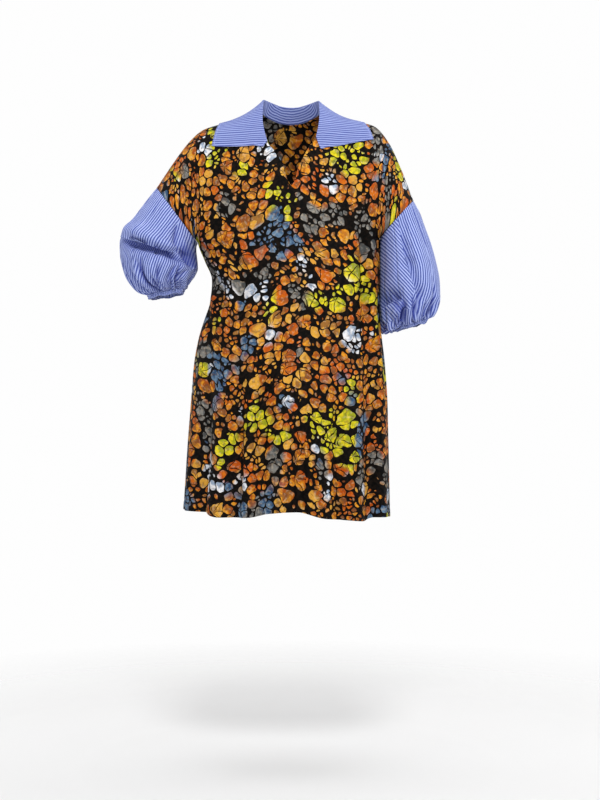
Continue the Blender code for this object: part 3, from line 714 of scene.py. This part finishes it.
def sleeve_shell(table, creases, fine, laps, inner, seed):
    """Fine rings of a sleeve from the armhole to the cuff, their runs and the painted shade of their
    lapping folds, inner front and crease troughs.
    """
    run = np.linspace(0.0, 1.0, SLEEVE_ALONG + 1)[:, None]
    run = run - 0.012 * np.sin(2.0 * math.pi * run)
    run, turn = np.broadcast_arrays(run, AROUND)
    push, slide, painted_lap_shade = lap_folds(laps, run, turn)
    grid = sleeve_point(table, creases, run + slide / SLEEVE_SIZE[0], turn)
    outward = np.sign(table[0, 1])
    grid[..., 0] += outward * SEAM_GAP * 0.9
    grid[..., 2] -= SEAM_GAP * 0.6
    hold = ease(0.0, 0.10, run)
    creased = crease_push(fine, run, turn, SLEEVE_SIZE, cusp, (0.86, 0.10))
    creased = creased * hold * ease(1.0, 0.94, run)
    creased = creased + cuff_tucks(run, turn, seed)
    amount = push * hold + creased
    amount = amount + soft_waves(turn * SLEEVE_SIZE[1], run * SLEEVE_SIZE[0], seed, 0.0010) * hold
    amount = amount - SEAM_DENT * bell(run * SLEEVE_SIZE[0], SEAM_WIDTH)
    grid = push_out(grid, amount, True, outward)
    # Painted shade on the inner front, where it turns toward the body
    path, _, painted_inner_shade = inner
    turned = ease(0.0, 0.05, turn - inner_border(path, run))
    turned = turned * ease(0.60, 0.50, turn) * ease(0.15, 0.40, run)
    # Painted shade kept on the points: under the laps, on the inner front, and deepest in the troughs of
    # creases and gathers
    fold = np.maximum(painted_lap_shade * hold, painted_inner_shade * turned)
    fold = np.maximum(fold, np.clip(-creased / 0.0090, 0.0, 1.0) ** 1.5)
    return (lean_on_body(grid, run) if outward > 0 else grid), run[:, :1], fold


def sleeve_flat(table, grid, run, inner):
    """Flat coordinates of a sleeve's corners: stripes along the sleeve, slanted on its inner front."""
    plain = sleeve_point(table, (), run, AROUND)
    top, elbow = (np.array([table[index, 1], 0.0, -table[index, 2]]) for index in (0, 4))
    blend = ease(0.40, 0.75, run)[..., None]
    axis = unit(unit(elbow - top) * (1.0 - blend) + sleeve_axis(table) * blend)
    step = np.diff(np.concatenate([plain, plain[:, :1]], axis=1), axis=1)
    step = step - (step * axis).sum(axis=-1, keepdims=True) * axis
    length = running(cloth_length(step, SLEEVE_FACING), 1)
    half = SLEEVE_AROUND // 2
    middle = int(SLEEVE_AROUND * 0.19)
    aside = np.stack([axis[:, 0, 2], 0.0 * axis[:, 0, 0], -axis[:, 0, 0]], axis=-1) * np.sign(table[0, 1])
    drift = (np.diff(plain[:, middle], axis=0) * (aside[1:] + aside[:-1]) / 2.0).sum(axis=-1)
    widen = []
    for part in (length[:, half], length[:, -1] - length[:, half]):
        widest = np.argmax(part)
        widen.append(np.where(np.arange(len(part)) > widest, part[widest] / part, 1.0)[:, None])
    front = length[:, :half + 1] * widen[0]
    outer = (length[0, middle] + running(drift) - front[:, middle])[:, None]
    front = outer + front
    back = outer - (length[:, -1:] - length[:, half:]) * widen[1]
    corners = level_corners(np.concatenate([front[:, :-1], back[:, :-1]], axis=1),
                            np.concatenate([front[:, 1:], back[:, 1:]], axis=1), run * SLEEVE_SIZE[0])
    path, way, _ = inner
    face_turn = AROUND + 0.5 / SLEEVE_AROUND
    inside = (face_turn > inner_border(path, (run[:-1] + run[1:]) / 2.0)) & (face_turn < 0.5)
    slant = grid[..., 0] * way[0] + grid[..., 2] * way[1]
    slant = np.concatenate([slant, slant[:, :1]], axis=1)
    slanted = face_corners(slant[:, :-1], slant[:, 1:])
    corners[..., 0] = np.where(inside[..., None], slanted, corners[..., 0])
    return corners


def level_corners(left, right, down):
    """Corners of rings of faces, from the flat places of their sides and each ring's level."""
    down = np.broadcast_to(down, left.shape)
    return face_corners(np.stack([left, down], axis=-1), np.stack([right, down], axis=-1))


def cuff_shell(start, table):
    """Ruffled band below a sleeve's last ring, drawn in by elastic."""
    axis = sleeve_axis(table)
    centre = start.mean(axis=0)
    even = sum(np.roll(start, step, axis=0) for step in range(-12, 13)) / 25.0
    part = np.linspace(0.0, 1.0, CUFF_ROWS)
    rows = []
    for down in part:
        swell = 1.0 + 0.05 * math.sin(math.pi * down) ** 0.7 + 0.012 * math.sin(3.0 * math.pi * down)
        ring = centre + (start + (even - start) * 0.90 * ease(0.0, 0.7, down) - centre) * swell
        rows.append(ring + axis * (0.0001 + (SEAM_GAP + CUFF_HEIGHT) * down))
    part = part[:, None]
    crimp = 0.0009 * np.sin(2.0 * math.pi * (56.0 * AROUND + 0.3 * np.sin(9.0 * math.pi * part)))
    return push_out(np.array(rows), crimp * np.sin(math.pi * part), True, np.sign(table[0, 1]))


def collar_seam(halves):
    """Signed share and run of even spots round the neck seam: front right, back, front left."""
    back = back_neck(25)[1:-1] * (1.0, -1.0)
    spots = np.concatenate([along_path(halves[0][:4][::-1], 12), back, along_path(halves[1][:4], 12)])
    lengths = path_length(signed_panel(spots[:, 0], spots[:, 1]))
    wanted = np.linspace(0.0, lengths[-1], COLLAR_AROUND)
    return [np.interp(wanted, lengths, column) for column in spots.T]


def collar_sag(station, part):
    """How far the front ends of the collar hang below a straight edge."""
    ends = COLLAR_SAG[0] * ease(0.17, 0.0, station) + COLLAR_SAG[1] * ease(0.83, 1.0, station)
    return ends * ease(0.0, 0.08, part) * (1.0 - part) ** 0.6


def collar_shell(halves):
    """Fine collar: stand, roll and fall, with a softly rounded roll."""
    neck_share, neck_run = collar_seam(halves)
    station = np.linspace(0.0, 1.0, COLLAR_AROUND)
    edge_share, edge_run, stand = (smooth_value(COLLAR_SECTIONS, column, station) for column in (1, 2, 3))
    seam = signed_panel(neck_share, neck_run)
    lift = signed_normal(neck_share, neck_run)
    upward = (0.0, 0.0, 1.0) + COLLAR_LEAN * unit(seam * (-1.0, -1.0, 0.0))
    rows = []
    for part in np.linspace(0.0, 0.96, COLLAR_STAND_ROWS):
        sunk = COLLAR_LIFT - (COLLAR_LIFT - 0.0004) * (1.0 - part)
        rows.append(seam + lift * sunk + upward * stand[:, None] * part)
    for part in np.linspace(0.0, 1.0, COLLAR_FALL_ROWS) ** 1.15:
        share = neck_share + (edge_share - neck_share) * part
        run = neck_run + (edge_run - neck_run) * part + collar_sag(station, part)
        point = signed_panel(share, run) + signed_normal(share, run) * COLLAR_LIFT
        wave = 0.0007 * math.sin(math.pi * part) * np.sin(station * 41.0 + 5.0 * part)
        wave = wave + 0.0006 * part * np.sin(station * 83.0)
        height = stand * (1.0 - part) ** COLLAR_FALL
        rows.append(point + upward * height[:, None] + lift * wave[:, None])
    grid = np.array(rows)
    weight = bell(np.arange(len(grid)) - COLLAR_STAND_ROWS, 5.0)[1:-1, None, None]
    for _ in range(10):
        middle = (grid[:-2] + grid[2:]) / 2.0
        grid[1:-1] = grid[1:-1] + (middle - grid[1:-1]) * 0.6 * weight
    return grid


def collar_flat(grid):
    """Flat coordinates of the collar, stripes level across the front leaves."""
    down = running(np.linalg.norm(np.diff(grid, axis=0), axis=-1))
    along = path_length(grid[len(grid) * 2 // 3])
    along = np.broadcast_to(along - along[-1] / 2.0, down.shape)
    level = grid[..., 2] - 0.30 * np.abs(grid[..., 1])
    back = ease(-0.02, 0.05, grid[..., 1])
    return np.stack([level * (1.0 - back) - down * back, along], axis=-1)


class Graph:
    """Short ways to add nodes to a material."""

    def __init__(self, material):
        self.nodes = material.node_tree.nodes
        self.links = material.node_tree.links

    def put(self, socket, value):
        """Link a socket, or set its number, vector or colour."""
        if isinstance(value, bpy.types.NodeSocket):
            self.links.new(value, socket)
        elif socket.type == "RGBA":
            socket.default_value = (*value, 1.0)
        else:
            socket.default_value = value

    def add(self, kind, values, **settings):
        """Add a node, set it up, fill its inputs by name or number and give its outputs."""
        node = self.nodes.new("ShaderNode" + kind)
        for name, setting in settings.items():
            setattr(node, name, setting)
        for name, value in values.items():
            self.put(node.inputs[name], value)
        return node.outputs

    def math(self, operation, *values):
        """One step of arithmetic."""
        return self.add("Math", dict(enumerate(values)), operation=operation)[0]

    plus = partialmethod(math, "ADD")
    minus = partialmethod(math, "SUBTRACT")
    times = partialmethod(math, "MULTIPLY")
    over = partialmethod(math, "DIVIDE")
    times_plus = partialmethod(math, "MULTIPLY_ADD")

    def vector(self, operation, first, second):
        """One step of vector arithmetic."""
        return self.add("VectorMath", {0: first, 1: second}, operation=operation)["Vector"]

    def scaled(self, vector, scale):
        """A vector made longer or shorter."""
        return self.add("VectorMath", {0: vector, "Scale": scale}, operation="SCALE")["Vector"]

    def between(self, value, low, high):
        """Rise smoothly from nought at low to one at high; low may be the greater."""
        values = {"Value": value, "From Min": low, "From Max": high}
        return self.add("MapRange", values, interpolation_type="SMOOTHSTEP")["Result"]

    def noise(self, vector, size, detail=1.0, output="Fac"):
        """Noise with features of a size in metres."""
        values = {"Vector": vector, "Scale": 1.0 / size, "Detail": detail}
        return self.add("TexNoise", values, noise_dimensions="2D")[output]

    def aside_noise(self, vector, aside, size):
        """Noise read at a place of its own, so that two kinds don't follow each other."""
        return self.noise(self.vector("ADD", vector, (aside, aside * 0.3, 0.0)), size)

    def cells(self, vector, size, **settings):
        """Cells of a size in metres."""
        values = {"Vector": vector, "Scale": 1.0 / size}
        return self.add("TexVoronoi", values, voronoi_dimensions="2D", **settings)

    def split(self, vector):
        """The three numbers of a vector or colour."""
        return self.add("SeparateXYZ", {0: vector})

    def cell_marks(self, vector, size):
        """Three chance numbers of the cell round a place."""
        return self.split(self.cells(vector, size)["Color"])

    def mix(self, factor, first, second):
        """Blend two colours."""
        return self.add("Mix", {"Factor": factor, "A": first, "B": second}, data_type="RGBA")["Result"]

    def spot_value(self, name):
        """A number kept on the mesh's points."""
        return self.add("Attribute", {}, attribute_name=name)["Fac"]


def new_cloth(name, shift, specular, sheen):
    """Cloth material with fixed shine and sheen, its flat place and one moved aside for the pattern."""
    material = bpy.data.materials.new(name)
    material.use_nodes = True
    shader = material.node_tree.nodes["Principled BSDF"]
    for socket, value in zip(SHINE_SOCKETS, (0.75, specular, sheen, 0.45)):
        shader.inputs[socket].default_value = value
    graph = Graph(material)
    flat = graph.add("UVMap", {}, uv_map="flat")["UV"]
    return material, shader, graph, flat, graph.vector("ADD", flat, (shift, shift * 0.7, 0.0))


def finish_cloth(shader, graph, colour, flat, thread, height):
    """Set the colour, and crossed threads and faint slubs of woven cloth as a bump."""
    graph.put(shader.inputs["Base Color"], colour)
    across, down, _ = graph.split(flat)
    warp, weft = (graph.math("SINE", graph.times(way, 2.0 * math.pi / thread)) for way in (across, down))
    weave = graph.times(graph.times(warp, weft), 0.3)
    slub = graph.times(graph.noise(flat, 0.0035, 3.0), 2.0)
    bump = graph.add("Bump", {"Strength": 0.35, "Distance": height, "Height": graph.plus(weave, slub)})
    graph.put(shader.inputs["Normal"], bump["Normal"])


def uneven_place(graph, spot):
    """Place on the cloth, wandering and shivering so that painted edges aren't straight."""
    place = spot
    for size, reach in ((0.020, 0.010), (0.0065, 0.0010)):
        drift = graph.vector("SUBTRACT", graph.noise(spot, size, 1.0, "Color"), (0.5, 0.5, 0.5))
        place = graph.vector("ADD", place, graph.scaled(drift, reach))
    return place


def pebbles(graph, place, uneven, size):
    """Pebbles of one size: inside or not, within the rim or not, chance numbers and centres."""
    near = graph.cells(place, size)
    soft = graph.cells(place, size, feature="SMOOTH_F1")
    corner = graph.math("MAXIMUM", graph.minus(near["Distance"], 0.40), 0.0)
    rim = graph.times_plus(corner, 0.20, graph.minus(near["Distance"], soft["Distance"]))
    edge = 0.141 * (1.0 - (PEBBLE_GAP / size / 0.52) ** 2)
    limit = graph.times_plus(uneven, -0.036, edge)
    inside = graph.between(rim, limit, graph.minus(limit, PEBBLE_EDGE / size))
    core = graph.between(rim, limit, graph.times(limit, 1.0 - PEBBLE_RIM / size))
    return inside, core, graph.split(near["Color"]), near["Position"]


def veins(graph, place, centre, marks):
    """Nought on the veins that part a large pebble, one beside them and on pebbles without any."""
    aside = graph.vector("SUBTRACT", graph.cells(place, PEBBLE_LARGE)["Color"], (0.5, 0.5, 0.5))
    local = graph.vector("SUBTRACT", place, centre)
    local = graph.vector("ADD", local, graph.scaled(aside, PEBBLE_LARGE * 0.90))
    local_x, local_y, _ = graph.split(local)
    turn = graph.math("ARCTAN2", local_y, local_x)
    slices = graph.over(graph.math("FLOOR", graph.times_plus(marks[2], 5.0, 3.0)), 2.0 * math.pi)
    part = graph.math("FRACT", graph.times_plus(turn, slices, marks[1]))
    off = graph.math("MINIMUM", part, graph.minus(1.0, part))
    distance = graph.add("VectorMath", {0: local}, operation="LENGTH")["Value"]
    vein = graph.times(graph.over(off, slices), distance)
    plain = graph.math("LESS_THAN", marks[2], 0.35)
    return graph.math("MAXIMUM", graph.between(vein, 0.0008, 0.0014), plain)


def print_colours(graph, place, pull, chance, slope):
    """Warm colours with patches of grey, lime, slate and pale, each lighter on one side."""
    patch = graph.vector("ADD", graph.scaled(place, 0.45), graph.scaled(pull, 0.55))
    patch = graph.vector("MULTIPLY", patch, (1.0, 0.62, 1.0))
    brush = graph.noise(place, 0.012, 2.0)
    blend = graph.between(graph.times_plus(slope, 0.30, brush), 0.34, 0.66)
    colour = graph.mix(blend, *WARM)
    for shade, aside, low, share in WARM_PATCHES:
        field = graph.between(graph.aside_noise(patch, aside, 0.045), low, low + 0.07)
        colour = graph.mix(graph.times(field, share), colour, shade)
    colour = graph.mix(graph.times(graph.between(chance, 0.58, 0.86), 0.75), colour, BROWN)
    for shades, aside, size, low in PATCHES:
        field = graph.between(graph.aside_noise(patch, aside, size), low, low + 0.040)
        colour = graph.mix(field, colour, graph.mix(blend, *shades))
    return colour


def print_cloth(name, shift):
    """Cotton printed with rounded pebbles, whole or broken into smaller ones, on a dark ground."""
    material, shader, graph, flat, spot = new_cloth(name, shift, 0.08, 0.0)
    place = uneven_place(graph, spot)
    uneven = graph.noise(place, 0.030)
    sizes = (PEBBLE_LARGE, PEBBLE_MIDDLE, PEBBLE_SMALL)
    insides, cores, marks, centres = zip(*(pebbles(graph, place, uneven, size) for size in sizes))
    large_at_middle = graph.cell_marks(centres[1], PEBBLE_LARGE)[0]
    large_at_small = graph.cell_marks(centres[2], PEBBLE_LARGE)[0]
    middle_at_small = graph.cell_marks(centres[2], PEBBLE_MIDDLE)[0]
    whole_large = graph.math("GREATER_THAN", marks[0][0], WHOLE_LARGE)
    whole_middle = graph.times(graph.math("GREATER_THAN", marks[1][0], WHOLE_MIDDLE),
                               graph.math("LESS_THAN", large_at_middle, WHOLE_LARGE))
    keep_small = graph.times(graph.math("LESS_THAN", large_at_small, WHOLE_LARGE),
                             graph.math("LESS_THAN", middle_at_small, WHOLE_MIDDLE))
    keep_small = graph.times(keep_small, graph.math("GREATER_THAN", marks[2][1], 0.08))

    def by_size(large, middle, small):
        return graph.mix(whole_large, graph.mix(whole_middle, small, middle), large)

    mask = by_size(graph.times(insides[0], veins(graph, place, centres[0], marks[0])),
                   insides[1], graph.times(insides[2], keep_small))
    core = by_size(*cores)
    pull = by_size(*centres)
    breadth = graph.times_plus(whole_middle, PEBBLE_MIDDLE - PEBBLE_SMALL, PEBBLE_SMALL)
    breadth = graph.times_plus(whole_large, PEBBLE_LARGE - PEBBLE_MIDDLE, breadth)
    slope_x, slope_y, _ = graph.split(graph.vector("SUBTRACT", place, pull))
    slope = graph.over(graph.plus(graph.times(slope_x, -0.55), graph.times(slope_y, -0.80)), breadth)
    colour = print_colours(graph, place, pull, marks[2][2], slope)

    smudge = graph.between(graph.noise(place, 0.0095, 2.0), 0.53, 0.68)
    bloom = graph.between(graph.noise(graph.vector("ADD", spot, (4.0, 2.0, 0.0)), 0.008), 0.56, 0.70)
    rim = graph.minus(1.0, core)
    crack = graph.math("ABSOLUTE", graph.minus(graph.noise(spot, 0.014, 3.0), 0.5))
    for part, share, shade in (
        (smudge, 0.50, (0.120, 0.065, 0.035)),
        (bloom, 0.22, (0.78, 0.62, 0.42)),
        (graph.times(rim, graph.between(slope, 0.02, 0.22)), 0.80, (0.58, 0.43, 0.28)),
        (graph.times(rim, graph.between(slope, -0.02, -0.22)), 0.45, (0.06, 0.03, 0.015)),
        (graph.between(crack, 0.007, 0.003), 0.30, (0.05, 0.03, 0.02)),
    ):
        colour = graph.mix(graph.times(part, share), colour, shade)
    colour = graph.mix(0.14, colour, (0.0, 0.0, 0.0))
    ground = graph.mix(graph.between(graph.noise(spot, 0.008, 3.0), 0.40, 0.65), *GROUND)
    finish_cloth(shader, graph, graph.mix(mask, ground, colour), flat, 0.0007, 0.00018)
    return material


def stripe_cloth(name, shift, period=STRIPE_PERIOD, sway_size=STRIPE_SWAY, soften=0.0, stitched=False):
    """Blue and white striped shirting, with a line of stitches where asked."""
    material, shader, graph, flat, spot = new_cloth(name, shift, 0.22, 0.04)
    across, down, _ = graph.split(spot)
    sway = graph.minus(graph.noise(spot, 0.030, 2.0), 0.5)
    lane = graph.over(graph.times_plus(sway, sway_size, across), period)
    off = graph.math("ABSOLUTE", graph.minus(graph.math("FRACT", lane), 0.5))
    lane_spot = {0: graph.times(graph.math("FLOOR", lane), 0.37), 1: graph.times(down, 6.0)}
    fade = graph.noise(graph.add("CombineXYZ", lane_spot)[0], 0.5, 2.0)
    blue = graph.mix(fade, (0.020, 0.038, 0.240), (0.046, 0.078, 0.340))
    white = graph.mix(fade, (0.32, 0.385, 0.71), (0.44, 0.515, 0.83))
    colour = graph.mix(graph.between(off, 0.275, 0.225), blue, white)
    soft_spot = graph.between(graph.noise(spot, 0.016, 2.0), 0.30, 0.70)
    colour = graph.mix(graph.times_plus(soft_spot, 0.12, soften), colour, graph.mix(0.48, blue, white))
    # Painted shade: darken toward deep blue where the mesh holds painted shade for folds, crease troughs
    # and the inner front
    colour = graph.mix(graph.times(graph.spot_value("fold"), 0.72), colour, (0.018, 0.032, 0.260))
    thread = graph.between(graph.noise(spot, 0.0012, 2.0), 0.50, 0.75)
    colour = graph.mix(graph.times(thread, 0.22), colour, (0.40, 0.46, 0.78))
    if stitched:
        colour = graph.mix(0.22, colour, (0.02, 0.03, 0.16))
        off_line = graph.math("ABSOLUTE", graph.minus(graph.spot_value("edge"), STITCH_INSET))
        line = graph.between(off_line, 0.0005, 0.0003)
        dash = graph.math("FRACT", graph.over(graph.spot_value("along"), STITCH_LENGTH))
        dash = graph.math("LESS_THAN", dash, 0.72)
        colour = graph.mix(graph.times(line, dash), colour, (0.34, 0.40, 0.78))
    finish_cloth(shader, graph, colour, flat, 0.0006, 0.00016)
    return material


def add_object(name, data):
    """Put a mesh, light or camera into the scene."""
    thing = bpy.data.objects.new(name, data)
    bpy.context.scene.collection.objects.link(thing)
    return thing


def keep_values(mesh, name, values):
    """Keep a number at every point of a mesh."""
    kept = mesh.attributes.new(name, "FLOAT", "POINT")
    kept.data.foreach_set("value", np.ascontiguousarray(values, dtype=np.float32).ravel())


def cloth_shell(node, sheet, grid, corners, material, closed, flip, thickness=SHELL, **spot_values):
    """Thin shell of a solid's cloth from a grid of points, with flat coordinates at every corner."""
    rows, columns = grid.shape[:2]
    number = np.arange(rows * columns).reshape(rows, columns)
    beside = np.roll(number, -1, axis=1)
    if not closed:
        number, beside = number[:, :-1], beside[:, :-1]
    faces = face_corners(number, beside)
    if flip:
        faces = faces[:, :, ::-1]
        corners = corners[:, :, ::-1]
    mesh = bpy.data.meshes.new(node + "_cloth")
    mesh.from_pydata(grid.reshape(-1, 3).tolist(), [], faces.reshape(-1, 4).tolist())
    layer = mesh.uv_layers.new(name="flat")
    layer.data.foreach_set("uv", np.ascontiguousarray(corners, dtype=np.float32).ravel())
    for key, values in spot_values.items():
        keep_values(mesh, key, values)
    mesh.materials.append(material)
    mesh.shade_smooth()
    piece = add_object(node + "_cloth", mesh)
    shell = piece.modifiers.new("shell", "SOLIDIFY")
    shell.thickness = thickness
    shell.offset = -1.0
    shell.use_rim = True
    shell.use_quality_normals = True
    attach(piece, "root")
    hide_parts(node)


def make_panel(node, side, top_spots, shift):
    """The front or the back."""
    grid, flat = panel_shell(side, top_spots)
    cloth_shell(node, PANEL_SHEET, grid, face_corners(flat[:, :-1], flat[:, 1:]),
                print_cloth(node + "_print", shift), False, side == FRONT)


def make_sleeve(side_name, table, creases, fine, laps, inner, seed):
    """A sleeve and its cuff, with the stripes running on from one to the other."""
    flip = side_name == "right"
    grid, run, fold = sleeve_shell(table, creases, fine, laps, inner, seed)
    corners = sleeve_flat(table, grid, run, inner)
    stripes = stripe_cloth(f"sleeve_{side_name}_stripe", seed)
    # The sleeve's points carry their painted fold shade for the stripes
    cloth_shell("sleeve_" + side_name, SLEEVE_SHEET, grid, corners, stripes, True, flip, fold=fold)
    cuff = cuff_shell(grid[-1], table)
    left, right = (np.repeat(corners[-1:, :, corner, 0], CUFF_ROWS, axis=0) for corner in (3, 2))
    corners = level_corners(left, right, np.linspace(0.0, CUFF_HEIGHT, CUFF_ROWS)[:, None])
    stripes = stripe_cloth(f"cuff_{side_name}_stripe", seed)
    cloth_shell("cuff_" + side_name, CUFF_SHEET, cuff, corners, stripes, True, flip)


def make_collar(halves):
    """The collar, with how far each point lies from its edge and along it."""
    grid = collar_shell(halves)
    flat = collar_flat(grid)
    ends = (grid[-1], grid[:, :1], grid[:, -1:])
    edge = np.min([np.linalg.norm(grid - end, axis=-1) for end in ends], axis=0)
    along = np.broadcast_to(path_length(grid[-1]), edge.shape)
    stripes = stripe_cloth("collar_stripe", 5.1, COLLAR_PERIOD, COLLAR_SWAY, COLLAR_SOFTEN, True)
    cloth_shell("collar", COLLAR_SHEET, grid, face_corners(flat[:, :-1], flat[:, 1:]), stripes,
                False, False, COLLAR_SHELL, edge=edge, along=along)


def make_floor():
    """Pale floor that fades into the white air all round."""
    around = 96
    turn = 2.0 * math.pi * np.arange(around) / around
    out, solid = np.array(FLOOR_RINGS).T[:, :, None]
    points = np.stack(np.broadcast_arrays(out * np.cos(turn), out * np.sin(turn), FLOOR_LEVEL), axis=-1)
    number = np.arange(points.shape[0] * around).reshape(-1, around)
    faces = face_corners(number, np.roll(number, -1, axis=1))[:, :, [0, 3, 2, 1]]
    mesh = bpy.data.meshes.new("floor")
    mesh.from_pydata(points.reshape(-1, 3).tolist(), [], faces.reshape(-1, 4).tolist())
    keep_values(mesh, "solid", np.repeat(solid, around, axis=1))
    material = bpy.data.materials.new("floor_paint")
    material.use_nodes = True
    shader = material.node_tree.nodes["Principled BSDF"]
    shader.inputs["Base Color"].default_value = (0.95, 0.95, 0.95, 1.0)
    shader.inputs["Roughness"].default_value = 0.9
    graph = Graph(material)
    graph.put(shader.inputs["Alpha"], graph.spot_value("solid"))
    mesh.materials.append(material)
    add_object("floor", mesh)


def make_studio():
    """Soft lights, pale air that is dimmer high up, and the camera."""
    scene = bpy.context.scene
    target = Vector((0.0, 0.0, -0.5))
    for name, place, size, power in LIGHTS:
        lamp = bpy.data.lights.new(name, "AREA")
        lamp.shape = "DISK"
        lamp.size = size
        lamp.energy = power
        holder = add_object(name, lamp)
        holder.location = place
        holder.rotation_euler = (target - Vector(place)).to_track_quat("-Z", "Y").to_euler()
    world = bpy.data.worlds.new("studio")
    world.use_nodes = True
    graph = Graph(world)
    air = world.node_tree.nodes["Background"]
    air.inputs["Color"].default_value = (1.0, 1.0, 1.0, 1.0)
    height = graph.split(graph.add("TexCoord", {})["Generated"])[2]
    graph.put(air.inputs["Strength"], graph.times_plus(graph.between(height, 0.27, 0.55), -0.82, 0.99))
    scene.world = world
    scene.view_settings.view_transform = "Standard"
    camera = bpy.data.cameras.new("camera")
    camera.sensor_width = 36.0
    camera.lens = 66.456
    eye = add_object("camera", camera)
    eye.location = (0.0213, -3.5, -0.668)
    eye.rotation_euler = (math.pi / 2.0, 0.0, 0.0)
    scene.camera = eye


neck = neck_halves()
make_panel("front_panel", FRONT, top_edge(front_neck(neck)), 0.31)
make_panel("back_panel", BACK, top_edge(back_neck(BACK_NECK_SPOTS)), 2.43)
make_sleeve("right", BENT_SLEEVE, BENT_CREASES, BENT_FINE, BENT_LAPS, BENT_INNER, 1.3)
make_sleeve("left", HANGING_SLEEVE, HANGING_CREASES, HANGING_FINE, HANGING_LAPS, HANGING_INNER, 2.9)
make_collar(neck)
make_floor()
make_studio()
